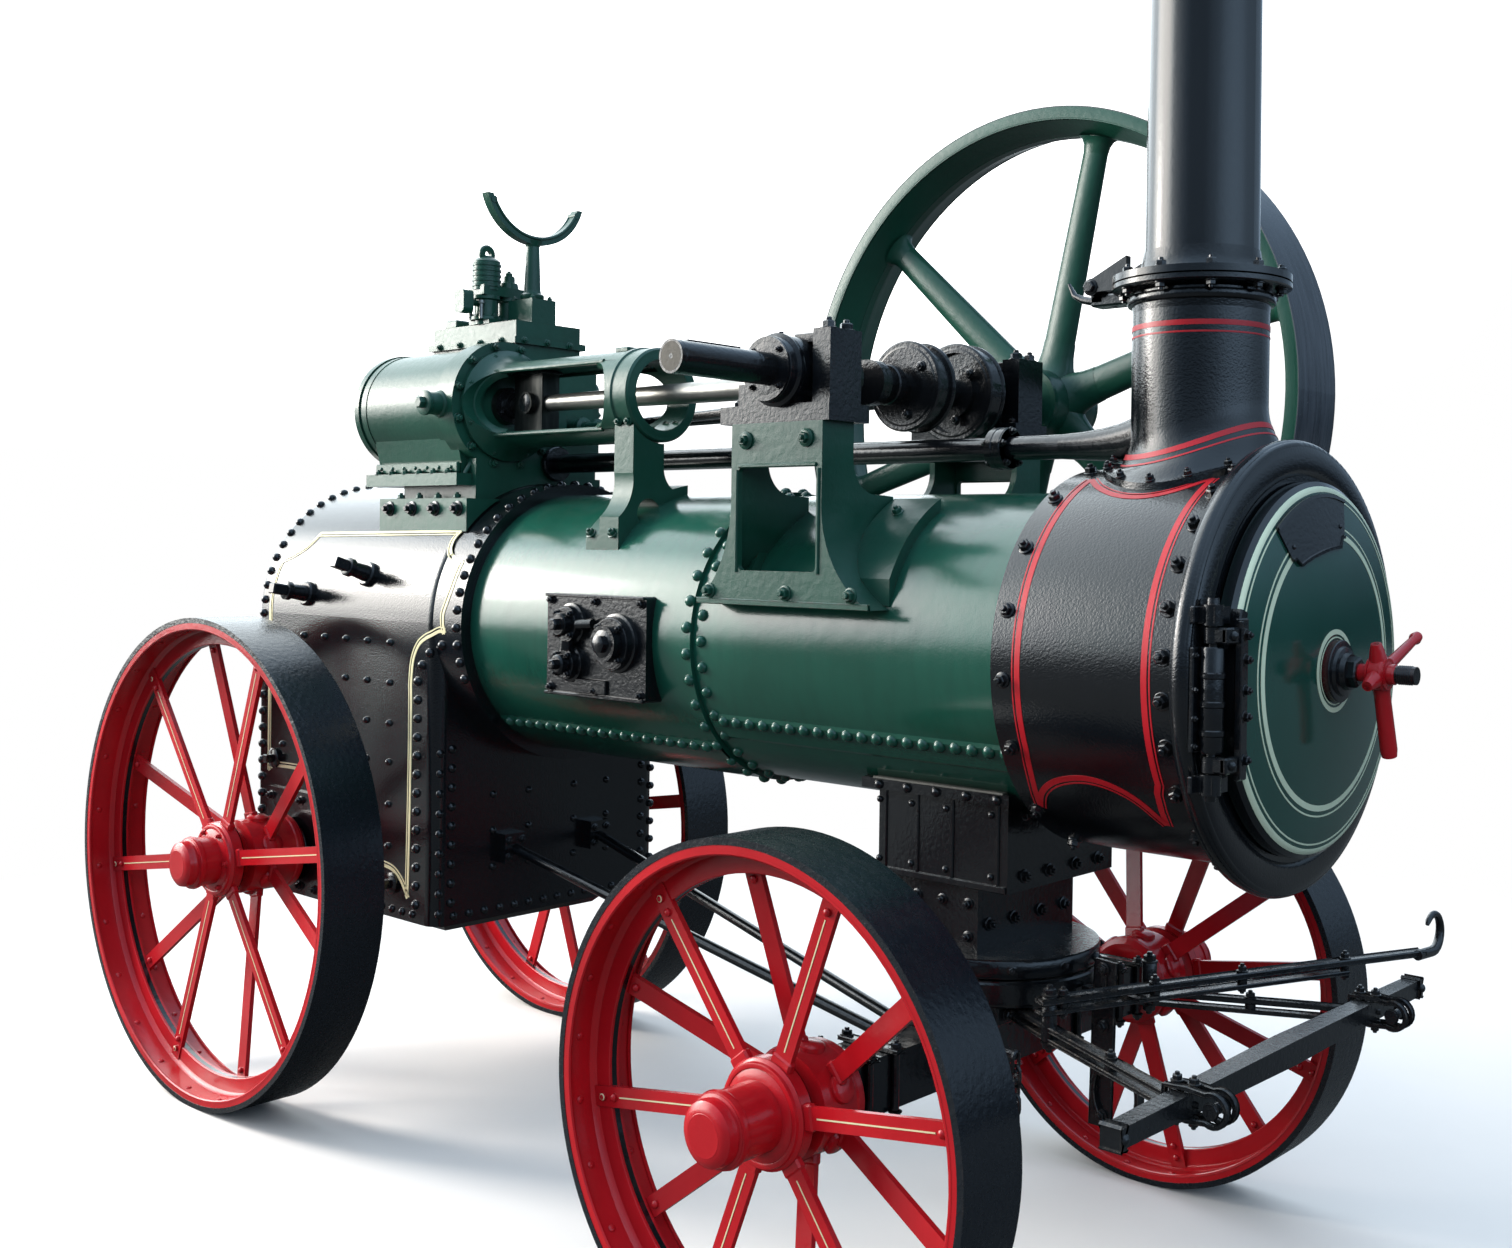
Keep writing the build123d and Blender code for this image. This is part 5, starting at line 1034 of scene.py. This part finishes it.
# Flywheel: flared arm ends, hub ring, key
s = Shape()
FY = 0.611
hub = at(SX, FY, SZ)
INNER = ((0.080, 0.050, 1.25), (0.094, 0.040, 1.5), (0.110, 0.032, 1.7), (0.135, 0.0275, 1.8), (0.17, 0.0258, 1.83))
OUTER = ((0.655, 0.0203, 1.75), (0.680, 0.0225, 1.75), (0.694, 0.028, 1.7), (0.700, 0.036, 1.6))
angles = [2 * pi * j / 20 for j in range(20)]
for k, x, z in circle(6, 78, 1):
    d = Vector((x, 0, z))
    t = Vector((-z, 0, x))
    for stations in (INNER, OUTER):
        rows = []
        for r, ru, fl in stations:
            rows.append(s.row([hub + d * r + Y * ru * cos(q) + t * ru * fl * sin(q) for q in angles]))
        s.skin(rows, ring=True, back=True)
for side, nn in SIDES:
    s.lathe(hub, nn, [(0.040, 0.0935), (0.086, 0.0925), (0.096, 0.088), (0.1005, 0.076), (0.1005, 0.037)], 48)
s.box(at(SX, FY, SZ + 0.040), X, Y, Z, 0.009, 0.108, 0.007, 0.002)
for side, nn in SIDES:
    s.lathe(hub, nn, [(0.0, 0.7005), (0.0145, 0.7015), (0.030, 0.708), (0.060, 0.7175), (0.090, 0.7275)], 128)
    s.lathe(hub, nn, [(0.0935, 0.7275), (0.0965, 0.7315), (0.0965, 0.7570), (0.0950, 0.7605)], 128)
s.make("flywheel_fillets", "crankshaft", green_cast, "green_paint")

# Exhaust pipe couplings
s = Shape()
EY, EZ = 0.020, 1.824
for x0, x1, r in ((0.662, 0.678, 0.050), (2.236, 2.256, 0.0475), (2.259, 2.279, 0.0475)):
    s.collar(at(0, EY, EZ), X, x0, x1, 0.027, r, 36)
for k, y, z in circle(5, 20, 0.039):
    s.bolt(at(2.279, EY + y, EZ + z), X, 0.0075, 0.009, turn=k)
    s.bolt(at(2.236, EY + y, EZ + z), -X, 0.0075, 0.009, turn=k)
BELL = ((2.42, 0, 0.0275), (2.47, 0, 0.0305), (2.52, 0.001, 0.0350), (2.57, 0.004, 0.0415), (2.61, 0.009, 0.0485),
    (2.64, 0.015, 0.0530))
s.tube([at(x, EY, EZ + dz) for x, dz, r in BELL], [r for x, dz, r in BELL], 28)
s.make("exhaust_fittings", "engine", black_cast, "black_paint")

# Feed pad: valve covers, nuts, blank plate, short pipes, edge strips
s = Shape()
PX, PZ, PY = 1.330, 1.348, -0.375
for x, z, r in ((0.085, 0.012, 0.064), (-0.085, 0.052, 0.044), (-0.088, -0.046, 0.038)):
    c = at(PX + x, PY, PZ + z)
    s.lathe(c, -Y, [(0.0, r + 0.008), (0.008, r + 0.007), (0.010, r + 0.001), (0.024, r), (0.0275, r - 0.004),
        (0.0275, r * 0.7)], 36)
    s.lathe(c, -Y, [(0.026, r * 0.66), (0.046, r * 0.62), (0.050, r * 0.52), (0.051, 0)], 30)
    s.lathe(c, -Y, [(0.049, r * 0.36), (0.064, r * 0.36), (0.067, r * 0.28), (0.067, 0)], 6)
    for k, dx, dz in circle(4, 45, r * 0.84):
        s.bolt(c + Vector((dx, -0.0275, dz)), -Y, 0.0075, 0.010, turn=k)
for x in (-0.168, 0.0, 0.168):
    for z in (-0.108, 0.108):
        s.bolt(at(PX + x, PY, PZ + z), -Y, 0.0095, 0.011, turn=x * 30)
s.box(at(PX - 0.01, PY - 0.003, PZ - 0.098), X, Y, Z, 0.058, 0.005, 0.018, 0.003)
s.tube([at(PX + 0.005, PY - 0.012, PZ + 0.055), at(PX - 0.04, PY - 0.022, PZ + 0.052)], 0.013, 14)
s.tube([at(PX - 0.085, PY - 0.018, PZ + 0.012), at(PX - 0.088, PY - 0.018, PZ - 0.012)], 0.017, 14)
for dz in (0.1215, -0.1215):
    s.box(at(PX, PY - 0.004, PZ + dz), X, Y, Z, 0.184, 0.006, 0.004, 0.002)
s.make("feed_fittings", "engine", black_cast, "black_paint")

# Pedestal: angle strips, rivets, panel beads, bolts
s = Shape()
for side, nn in SIDES:
    for k in range(5):
        s.dome(at(2.11 + 0.080 * k, side * 0.220, 1.081), nn, 0.0115, 0.010)
    for x in (2.115, 2.205, 2.30, 2.42):
        s.tube([at(x, side * 0.2, 0.895), at(x, side * 0.2, 1.066)], 0.0045, 8)
        for z in (0.915, 1.045):
            s.dome(at(x - 0.018, side * 0.2, z), nn, 0.008, 0.007)
    s.box(at(FRONT_X, side * 0.197, 0.892), X, Y, Z, 0.172, 0.008, 0.0075, 0.002)
    for x in (2.12, 2.19, 2.26, 2.33):
        for z in (0.845, 0.775):
            s.bolt(at(x, side * 0.180, z), nn, 0.010, 0.011, turn=x * 9)
for y in (-0.14, -0.05, 0.05, 0.14):
    for x, z in ((2.445, 0.915), (2.445, 1.045), (2.355, 0.80)):
        s.bolt(at(x, y, z), X, 0.0115, 0.013, turn=y * 9)
s.lathe(at(FRONT_X, 0, 0), Z, [(0.700, 0.229), (0.706, 0.233), (0.732, 0.233), (0.738, 0.229)], 64)
for k, x, y in circle(12, 15, 0.233):
    s.bolt(at(FRONT_X + x, y, 0.719), Vector((x, y, 0)), 0.0085, 0.009, turn=k)
s.make("pedestal_fittings", "engine", black_cast, "black_paint")
s = Shape()
for side in (-1, 1):
    s.box(at(FRONT_X, side * 0.2125, 1.0948), X, Y, Z, 0.176, 0.0095, 0.0024, 0.001)
s.make("pedestal_strips", "engine", dusty_strip, "black_paint")

# Rear axle plates and hanger bolts
s = Shape()
for side, nn in SIDES:
    for dx in (-0.125, -0.042, 0.042, 0.125):
        for dz in (-0.125, 0.125):
            s.bolt(at(dx, side * 0.404, 0.706 + dz), nn, 0.011, 0.012, turn=dx * 9)
    s.lathe(at(0, 0, 0.686), nn, [(0.403, 0.075), (0.412, 0.073), (0.415, 0.060), (0.4155, 0.038)], 36)
s.make("axle_plate_bolts", "engine", black_cast, "black_paint")

# Rear plate: gauges, cocks, regulator, door latch
s = Shape()
DIAL_Y, DIAL_Z = 0.060, 1.600
s.lathe(at(REAR_X, DIAL_Y, DIAL_Z), -X, [(0.060, 0.070), (0.064, 0.077), (0.0715, 0.0775), (0.074, 0.072),
    (0.0725, 0.064)], 48)
for z in (BZ - 0.066, BZ + 0.174):
    s.lathe(at(REAR_X, -0.200, z), -X, [(0, 0.030), (0.006, 0.030), (0.008, 0.022), (0.030, 0.016), (0.078, 0.0165),
        (0.081, 0.0)], 24)
    s.lathe(at(REAR_X - 0.060, -0.200, z), Z, [(-0.024, 0.012), (-0.022, 0.019), (0.022, 0.019), (0.024, 0.012)], 20)
    s.tube([at(REAR_X - 0.060, -0.218, z), at(REAR_X - 0.060, -0.262, z)], 0.005, 10)
    s.dome(at(REAR_X - 0.060, -0.258, z), -Y, 0.010, 0.010)
s.tube([at(REAR_X - 0.060, -0.200, BZ - 0.076), at(REAR_X - 0.060, -0.200, BZ - 0.130),
    at(REAR_X - 0.060, -0.200, BZ - 0.165)], [0.008, 0.007, 0.006], 12)
for z in (1.30, 1.38, 1.46):
    s.lathe(at(REAR_X, 0.225, z), -X, [(0, 0.022), (0.005, 0.022), (0.007, 0.012), (0.045, 0.011), (0.048, 0)], 18)
    s.tube([at(REAR_X - 0.034, 0.225, z), at(REAR_X - 0.034, 0.225, z - 0.03),
        at(REAR_X - 0.040, 0.225, z - 0.042)], 0.0065, 10)
    s.tube([at(REAR_X - 0.034, 0.225, z + 0.008), at(REAR_X - 0.034, 0.255, z + 0.012)], 0.0045, 8)
s.make("gauge_brass", "engine", brass, "brass")
s = Shape()
s.lathe(at(REAR_X, DIAL_Y, DIAL_Z), -X, [(0.0702, 0.068), (0.0708, 0.068), (0.0708, 0.0)], 48)
s.make("gauge_dial", "engine", dial)
s = Shape()
for k in range(13):
    a = rad(-135 + 22.5 * k)
    c = at(REAR_X - 0.0712, DIAL_Y, DIAL_Z)
    d = Vector((0, -sin(a), cos(a)))
    s.box(c + d * 0.056, X, d, X.cross(d), 0.0004, 0.006 if k % 2 == 0 else 0.0035, 0.0010, 0.0002)
d = Vector((0, -sin(rad(-95)), cos(rad(-95))))
s.box(at(REAR_X - 0.0718, DIAL_Y, DIAL_Z) + d * 0.018, X, d, X.cross(d), 0.0006, 0.030, 0.0013, 0.0003)
s.dome(at(REAR_X - 0.0716, DIAL_Y, DIAL_Z), -X, 0.006, 0.003)
s.make("gauge_marks", "engine", black, "black_paint")
s = Shape()
s.lathe(at(REAR_X, 0, 1.53), -X, [(0, 0.050), (0.010, 0.050), (0.013, 0.040), (0.045, 0.022), (0.062, 0.020),
    (0.064, 0)], 32)
for k, y, z in circle(5, 0, 0.041):
    s.bolt(at(REAR_X - 0.010, y, 1.53 + z), -X, 0.0065, 0.008)
s.tube([at(REAR_X - 0.056, 0.0, 1.53), at(REAR_X - 0.058, -0.06, 1.55), at(REAR_X - 0.060, -0.135, 1.575)],
    [0.011, 0.008, 0.0065], 12)
s.dome(at(REAR_X - 0.060, -0.130, 1.5735), Vector((0, -0.95, 0.3)), 0.013, 0.016)
z = 0.66
for y in (-0.23, 0.23, 0.0):
    s.lathe(at(REAR_X, y, z), -X, [(0, 0.032), (0.009, 0.032), (0.012, 0.024), (0.012, 0)], 20)
    s.box(at(REAR_X - 0.022, y, z), X, Y, Z, 0.012, 0.011, 0.011, 0.002)
s.make("regulator", "engine", black_cast, "black_paint")
s = Shape()
FZ = 1.05
for y, z in ((-0.16, 0.115), (0.0, 0.135), (0.12, 0.125), (-0.16, -0.115), (0.0, -0.135), (0.12, -0.125),
        (-0.175, 0.05), (-0.175, -0.05)):
    s.dome(at(REAR_X - 0.022, y, FZ + z), -X, 0.010, 0.008)
for z in (0.070, -0.070):
    for y in (-0.07, 0.02, 0.11, 0.19):
        s.dome(at(REAR_X - 0.034, y, FZ + z), -X, 0.008, 0.006)
s.tube([at(REAR_X - 0.069, -0.130, FZ), at(REAR_X - 0.073, -0.130, FZ - 0.05),
    at(REAR_X - 0.078, -0.132, FZ - 0.10)], [0.012, 0.009, 0.011], 12)
s.make("firehole_fittings", "firehole_door", black_cast, "black_paint")

# Wheels: rim ribs, sockets, rivets, caps and pinstripes
REAR = (0.0, 0.686, 0.706, 0.172, 0.046, 0.290)
FRONT = (FRONT_X, 0.527, 0.795, 0.166, 0.090, 0.250)
T = 0.014
CAP_R = 0.063
for name, ws, sizes in (("rear_right", -1, REAR), ("rear_left", 1, REAR), ("front_right", -1, FRONT),
        ("front_left", 1, FRONT)):
    wx, wr, face, tw, nose, tail = sizes
    body = name + "_wheel"
    c = at(wx, ws * face, wr)
    out = Vector((0, ws, 0))
    mid = tw / 2
    fl = mid - 0.006
    red_s, cream_s, gap_shade_s, tyre_s = Shape(), Shape(), Shape(), Shape()
    ri = wr - T - 0.013
    web = wr - T - 0.062
    for e in (-0.004, 0.004 - tw):
        red_s.lathe(c, out, [(e - 0.004, ri - 0.0005), (e - 0.003, ri - 0.006), (e + 0.001, ri - 0.007),
            (e + 0.0035, ri - 0.004), (e + 0.0035, ri + 0.001)], 96)
    for e in (-mid - 0.013, -mid + 0.006):
        red_s.lathe(c, out, [(e - 0.0005, ri), (e - 0.0005, web + 0.001), (e + 0.001, web - 0.001),
            (e + 0.006, web - 0.001), (e + 0.0075, web + 0.001), (e + 0.0075, ri)], 96)
    for sgn, e in ((-1, -mid - 0.0135), (1, -mid + 0.0135)):
        red_s.lathe(c, out, [(e, ri - 0.010), (e + sgn * 0.004, ri - 0.004), (e + sgn * 0.012, ri + 0.0005)][::sgn], 96)
    # Painted shade: a black band closes the gap between the two webs, in place of the shade inside it
    gap_shade_s.lathe(c, out, [(-mid - 0.0062, web - 0.0004), (-mid + 0.0062, web - 0.0004)], 96)
    r0, r1 = 0.085, wr - T - 0.016
    for i in range(12):
        a = rad(9 + 30 * i)
        inner = i % 2
        a0 = -fl - 0.104 if inner else -fl
        a1 = -mid - 0.011 if inner else -mid + 0.011
        d = Vector((cos(a), 0, sin(a)))
        t = Vector((-sin(a), 0, cos(a)))
        p0 = c + d * r0 + out * a0
        p1 = c + d * r1 + out * a1
        k = (p1 - p0).normalized()
        n = k.cross(t).normalized()
        if n.dot(out) < 0:
            n = -n
        length = (p1 - p0).length
        red_s.box(p0 + k * 0.012, k, t, n, 0.026, 0.0255, 0.0095, 0.005)
        for q in (0.030, 0.062):
            for way in (n, -n):
                red_s.dome(p0 + k * (length - q) + way * 0.0085, way, 0.0085, 0.006)
        if not inner:
            a_pts = [p0 + k * 0.050 + n * 0.006, p0 + k * (length - 0.078) + n * 0.006]
            cream_s.line(a_pts, [n, n], 0.0028, 0.0008)
            cream_s.lathe(p0 + k * (length - 0.030) + n * 0.0118, n, [(0, 0.0075), (0.0012, 0.006), (0.0016, 0)], 12)
        for angle in (a + rad(15), a):
            for e in (-0.030, -tw + 0.030):
                dd = Vector((cos(angle), 0, sin(angle)))
                red_s.dome(c + dd * (ri + 0.0005) + out * e, -dd, 0.0085, 0.005)
                tyre_s.lathe(c + dd * (wr - 0.0006) + out * e, dd, [(0, 0.0095), (0.0004, 0.009), (0.0004, 0)], 10)
    red_s.lathe(c, out, [(nose - 0.020, CAP_R + 0.0004), (nose - 0.010, CAP_R - 0.002),
        (nose - 0.004, CAP_R - 0.010), (nose - 0.0005, CAP_R - 0.022), (nose - 0.0002, 0)], 48)
    red_s.lathe(c, out, [(nose - 0.034, CAP_R), (nose - 0.036, 0.0715), (nose - 0.044, 0.0735),
        (nose - 0.052, 0.0715), (nose - 0.054, 0.067)], 48)
    red_s.lathe(c, out, [(-fl + 0.030, 0.068), (-fl + 0.028, 0.080), (-fl + 0.022, 0.092), (-fl + 0.019, 0.100),
        (-fl + 0.013, 0.106)][::-1], 48)
    red_s.lathe(c, out, [(-fl - 0.018, 0.1045), (-fl - 0.024, 0.090), (-fl - 0.034, 0.080),
        (-fl - 0.045, 0.0765)][::-1], 48)
    red_s.lathe(c, out, [(-fl + 0.020, 0.086), (-fl + 0.0255, 0.088), (-fl + 0.0265, 0.091), (-fl + 0.0245, 0.098),
        (-fl + 0.0185, 0.100)][::-1], 64)
    if sizes is REAR:
        for k, x, z in circle(6, 0, 0.084):
            red_s.bolt(c + Vector((x, 0, z)) + out * (-fl + 0.026), out, 0.007, 0.008, turn=k)
    for k, x, z in circle(6, 24, 1):
        d = Vector((x, 0, z))
        red_s.lathe(c + out * (-fl - 0.104) + d * 0.096, d,
            [(0, 0.030), (0.014, 0.029), (0.019, 0.022), (0.020, 0)], 20)
    red_s.lathe(c, out, [(-tail + 0.014, 0.104), (-tail + 0.018, 0.107), (-tail + 0.030, 0.107),
        (-tail + 0.034, 0.104)], 48)
    red_s.make("wheel_dress_" + name, body, red, "red_wheel")
    cream_s.make("wheel_lines_" + name, body, cream)
    gap_shade_s.make("rim_gap_shade_" + name, body, black, "black_paint")
    tyre_s.make("tyre_dots_" + name, body, tyre_iron, "wheel_iron")

# Fore-carriage: clips, bolts, chain
s = Shape()
for side in (-1, 1):
    for y in (0.24, 0.42, 0.50):
        for x in (-0.066, 0.066):
            s.tube([at(FRONT_X + x, side * y, 0.468), at(FRONT_X + x, side * y, 0.598)], 0.008, 10)
            s.bolt(at(FRONT_X + x, side * y, 0.468), -Z, 0.011, 0.011)
        s.strap([at(FRONT_X - 0.080, side * y, 0.590), at(FRONT_X + 0.080, side * y, 0.590)], Y, 0.030, 0.010)
        for x in (-0.066, 0.066):
            s.bolt(at(FRONT_X + x, side * y, 0.595), Z, 0.011, 0.011)
    for y in (0.06, 0.16):
        s.bolt(at(FRONT_X + 0.090, side * y, 0.612), X, 0.010, 0.010)
s.lathe(at(FRONT_X, 0, 0), Z, [(0.641, 0.229), (0.646, 0.234), (0.688, 0.234), (0.693, 0.229)], 64)
s.make("fore_clips", "fore_carriage", black_cast, "black_paint")
s = Shape()
cx, cy, z = 2.545, -0.30, 0.585
s.tube([at(2.42, -0.30, 0.604), at(2.50, -0.30, 0.602), at(2.545, -0.30, 0.598)], 0.010, 10)
for k in range(9):
    u = X if k % 2 else Y
    zc = z - 0.0285 * k
    pts = []
    for j, a, b in circle(16, 0, 1):
        pts.append(at(cx, cy, zc) + u * 0.0105 * a + Z * (0.012 * b + (0.008 if b > 0 else -0.008)))
    s.tube(pts, 0.0042, 6, closed=True)
s.make("chain", "fore_carriage", worn_iron, "black_paint")

# Draw gear of thin flat bars, in the place of the plain one
s = Shape()
BX, BARZ, PLX = 2.975, 0.650, 2.360
s.box(at(PLX + 0.022, 0, 0.616), X, Y, Z, 0.022, 0.170, 0.022, 0.004)
rows = []
for k in range(9):
    y = -0.630 + 1.26 * k / 8
    w = 0.030 + 0.012 * (1 - abs(y) / 0.63)
    rows.append((at(BX, y, BARZ - 0.020), w))
s.tube([q for q, w in rows], [(w / 2 + 0.003) * 1.41 for q, w in rows], 4, up=X)
for y in (-0.622, 0.622):
    s.strap([at(BX - 0.022, y, BARZ - 0.020), at(BX + 0.022, y, BARZ - 0.020)], Y, 0.026, 0.048)
    s.dome(at(BX + 0.022, y, BARZ - 0.020), X, 0.010, 0.008)
for y in (-0.385, 0.385):
    for dy in (-0.016, 0.016):
        ring = []
        for k in range(15):
            a = rad(-118 + 236 * k / 14)
            ring.append(at(BX + 0.062 + 0.028 * cos(a), y + dy, BARZ - 0.020 + 0.028 * sin(a)))
        loop = [at(BX - 0.034, y + dy, BARZ - 0.046), at(BX + 0.012, y + dy, BARZ - 0.048)] + ring
        loop += [at(BX + 0.012, y + dy, BARZ + 0.008), at(BX - 0.034, y + dy, BARZ + 0.006)]
        s.strap(loop, Y, 0.014, 0.010, closed=True)
    s.lathe(at(BX + 0.062, y, BARZ - 0.020), Y, [(-0.028, 0.0), (-0.028, 0.014), (-0.023, 0.016), (-0.023, 0.010),
        (0.023, 0.010), (0.023, 0.016), (0.028, 0.014), (0.028, 0)], 20)
    for x in (BX - 0.018, BX + 0.016):
        for dz, way in ((0.012, Z), (-0.052, -Z)):
            s.bolt(at(x, y, BARZ + dz), way, 0.0095, 0.011, turn=x * 9)
for side in (-1, 1):
    run = [at(PLX + 0.030, side * 0.100, 0), at(PLX + 0.200, side * 0.190, 0), at(BX - 0.030, side * 0.372, 0),
        at(BX + 0.020, side * 0.400, 0)]
    for z, wide in ((0.605, 0.010), (0.627, 0.012)):
        s.strap([q + Z * z for q in run], Z, wide, 0.030)
    for q in (run[0], run[2]):
        s.bolt(q + Z * 0.634, Z, 0.011, 0.013)
        s.bolt(q + Z * 0.600, -Z, 0.011, 0.012)
    mid = (run[1] + run[2]) / 2
    s.lathe(mid, Z, [(0.604, 0.012), (0.630, 0.012)], 14)
    s.bolt(mid + Z * 0.633, Z, 0.010, 0.011)
ACX = circle3((PLX + 0.180, -0.215), (PLX + 0.340, 0.160), (BX - 0.020, 0.730))
arc = []
a0 = math.atan2(-0.215 - ACX[1], PLX + 0.180 - ACX[0])
a1 = math.atan2(0.730 - ACX[1], BX - 0.020 - ACX[0])
if abs(a1 - a0) > pi:
    a1 += 2 * pi if a1 < a0 else -2 * pi
for k in range(19):
    a = a0 + (a1 - a0) * k / 18
    arc.append(at(ACX[0] + ACX[2] * cos(a), ACX[1] + ACX[2] * sin(a), 0))
for z, ids, wide in ((0.6625, arc[:15], 0.010), (0.6850, arc, 0.015)):
    s.strap([q + Z * z for q in ids], Z, wide, 0.034)
for i in (1, 5, 9, 14):
    s.lathe(arc[i], Z, [(0.666, 0.011), (0.684, 0.011)], 14)
    s.bolt(arc[i] + Z * 0.6925, Z, 0.010, 0.012, turn=i)
    s.bolt(arc[i] + Z * 0.6585, -Z, 0.010, 0.010, turn=i)
s.strap([at(PLX + 0.150, 0.0, 0.668), at(PLX + 0.295, -0.004, 0.668)], Z, 0.009, 0.030)
for x, y in ((PLX + 0.187, -0.188), (PLX + 0.195, 0.188)):
    s.lathe(at(x, y, 0), Z, [(0.600, 0.015), (0.604, 0.0165), (0.692, 0.0165), (0.696, 0.014)], 20)
    s.bolt(at(x, y, 0.694), Z, 0.014, 0.015)
    s.bolt(at(x, y, 0.600), -Z, 0.014, 0.015)
HX = PLX + 0.200
s.strap([at(HX + 0.004, -0.002, 0.733), at(HX, -0.002, 0.66), at(HX - 0.006, -0.002, 0.38)], X, 0.056, 0.012)
for z in (0.690, 0.652):
    s.box(at(HX + 0.001, -0.0082, z), X, Y, Z, 0.007, 0.0012, 0.012, 0.0005)
for z in (0.715, 0.594, 0.500, 0.405):
    s.bolt(at(HX, -0.008, z), -Y, 0.011, 0.010, turn=z * 30)
LX, LZ = PLX + 0.222, BARZ - 0.262
ring = []
for k in range(29):
    a = rad(120 + 300 * k / 28)
    ring.append(at(LX + 0.014 + 0.054 * cos(a), -0.004, LZ + 0.070 + 0.072 * sin(a)))
s.strap(ring, Y, 0.028, 0.010)
for q in (ring[0], ring[-1]):
    s.dome(q + Vector((0, -0.014, 0)), -Y, 0.009, 0.006)
for y in (-0.14, -0.06, 0.06, 0.14):
    s.bolt(at(PLX + 0.044, y, 0.616), X, 0.010, 0.011, turn=y * 30)
hook = [at(BX - 0.020, 0.700, 0.682), at(BX - 0.020, 0.745, 0.679), at(BX - 0.020, 0.785, 0.676)]
for k in range(1, 17):
    a = rad(-90 + 236 * k / 16)
    hook.append(at(BX - 0.020, 0.790 + 0.043 * cos(a), BARZ + 0.069 + 0.043 * sin(a)))
s.tube(hook, [0.012] * 3 + [0.0118 - 0.00035 * k for k in range(15)] + [0.0045], 12)
piece = s.make("draw_bars", "fore_carriage", worn_iron, "black_paint")
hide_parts("draw_gear")

# Stays: nuts at the throat, and the lower cap of the king pin
s = Shape()
for y in (-0.150, 0.150):
    for dy in (-0.022, 0.022):
        for z in (0.728, 0.772):
            s.bolt(at(0.726, y + dy, z), X, 0.009, 0.010)
s.lathe(at(FRONT_X, 0, 0), Z, [(0.368, 0.0), (0.368, 0.020), (0.371, 0.0235), (0.388, 0.0235)], 20)
s.make("stay_bolts", "engine", black_cast, "black_paint")

# Stage and light
bpy.ops.mesh.primitive_plane_add(size=60, location=(0, 0, 0))
floor = bpy.context.object
floor.name = "floor"
fm, nt, bs = nodes_of("floor")
tc = add(nt, "ShaderNodeTexCoord").outputs["Object"]
seen = add(nt, "ShaderNodeLightPath").outputs["Is Camera Ray"]
pale_floor = mix(nt, noise(nt, tc, 3.0, 4), (0.70, 0.655, 0.62, 1), (0.74, 0.695, 0.66, 1))
plug(nt, bs.inputs["Base Color"], mix(nt, seen, (0.055, 0.055, 0.052, 1), pale_floor))
plug(nt, bs.inputs["Roughness"], 0.85)
away = add(nt, "ShaderNodeVectorMath", {0: tc}, operation="LENGTH").outputs["Value"]
fade = times(nt, seen, rise(nt, times(nt, away, 0.1), 0.20, 0.48))
glow = add(nt, "ShaderNodeEmission").outputs[0]
surface = add(nt, "ShaderNodeMixShader", {0: fade, 1: bs.outputs[0], 2: glow}).outputs[0]
plug(nt, nt.nodes["Material Output"].inputs["Surface"], surface)
floor.data.materials.append(fm)
world = bpy.data.worlds.new("world")
bpy.context.scene.world = world
world.use_nodes = True
nt = world.node_tree
bg = nt.nodes["Background"]
seen = add(nt, "ShaderNodeLightPath").outputs["Is Camera Ray"]
gen = add(nt, "ShaderNodeTexCoord").outputs["Generated"]
part = split(nt, gen)
across = times(nt, calc(nt, "ADD", part["X"], 1.0), 0.5)
sky = ramp(nt, part["Z"], [(0.0, grey(0.08)), (0.05, grey(0.34)), (0.11, grey(0.8)), (0.22, grey(1.0)),
    (1.0, grey(0.85))])
toward = {0: gen, 1: (-0.853, -0.453, 0.259)}
haze = rise(nt, add(nt, "ShaderNodeVectorMath", toward, operation="DOT_PRODUCT").outputs["Value"], 0.90, 0.975)
side = ramp(nt, across, [(0.0, grey(1.0)), (0.20, grey(0.95)), (0.26, grey(0.55)), (0.38, grey(0.26)),
    (0.5, grey(0.14)), (0.75, grey(0.14)), (0.90, grey(0.27)), (1.0, grey(0.60))])
above = rise(nt, part["Z"], 0.45, 0.85, 0, 0.32)
power = times(nt, times(nt, sky, calc(nt, "ADD", side, above)), 3.1)
power = calc(nt, "ADD", power, times(nt, haze, 5.6))
cold = ramp(nt, across, [(0.22, (0.86, 0.95, 1.0, 1)), (0.45, (0.52, 0.74, 1.0, 1))])
tint = mix(nt, haze, cold, (1.0, 0.975, 0.93, 1))
plug(nt, bg.inputs["Color"], mix(nt, seen, tint, (1, 1, 1, 1)))
plug(nt, bg.inputs["Strength"], calc(nt, "MAXIMUM", seen, power))


def lamp(name, place, aim, size, size_y, power, tint=(1, 1, 1)):
    data = bpy.data.lights.new(name, "AREA")
    data.shape = "RECTANGLE"
    data.size, data.size_y = size, size_y
    data.energy = power
    data.color = tint
    ob = bpy.data.objects.new(name, data)
    bpy.context.scene.collection.objects.link(ob)
    ob.location = place
    ob.rotation_euler = (Vector(aim) - Vector(place)).to_track_quat("-Z", "Y").to_euler()
    ob.visible_glossy = name == "glint"


lamp("key", (-5.0, -2.9, 3.9), (0.2, 0, 1.2), 1.6, 1.6, 350, (1.0, 0.96, 0.90))
lamp("glint", (-5.0, -2.8, 3.3), (0.2, 0, 1.2), 1.5, 1.5, 75, (1.0, 0.97, 0.92))
lamp("front", (4.6, -5.2, 4.4), (0.8, 0, 1.0), 4.2, 3.4, 130, (0.88, 0.94, 1.0))
lamp("far", (0.5, 5.0, 4.2), (0.3, 0, 1.3), 3.4, 1.6, 30)
bpy.context.scene.view_settings.view_transform = "Standard"
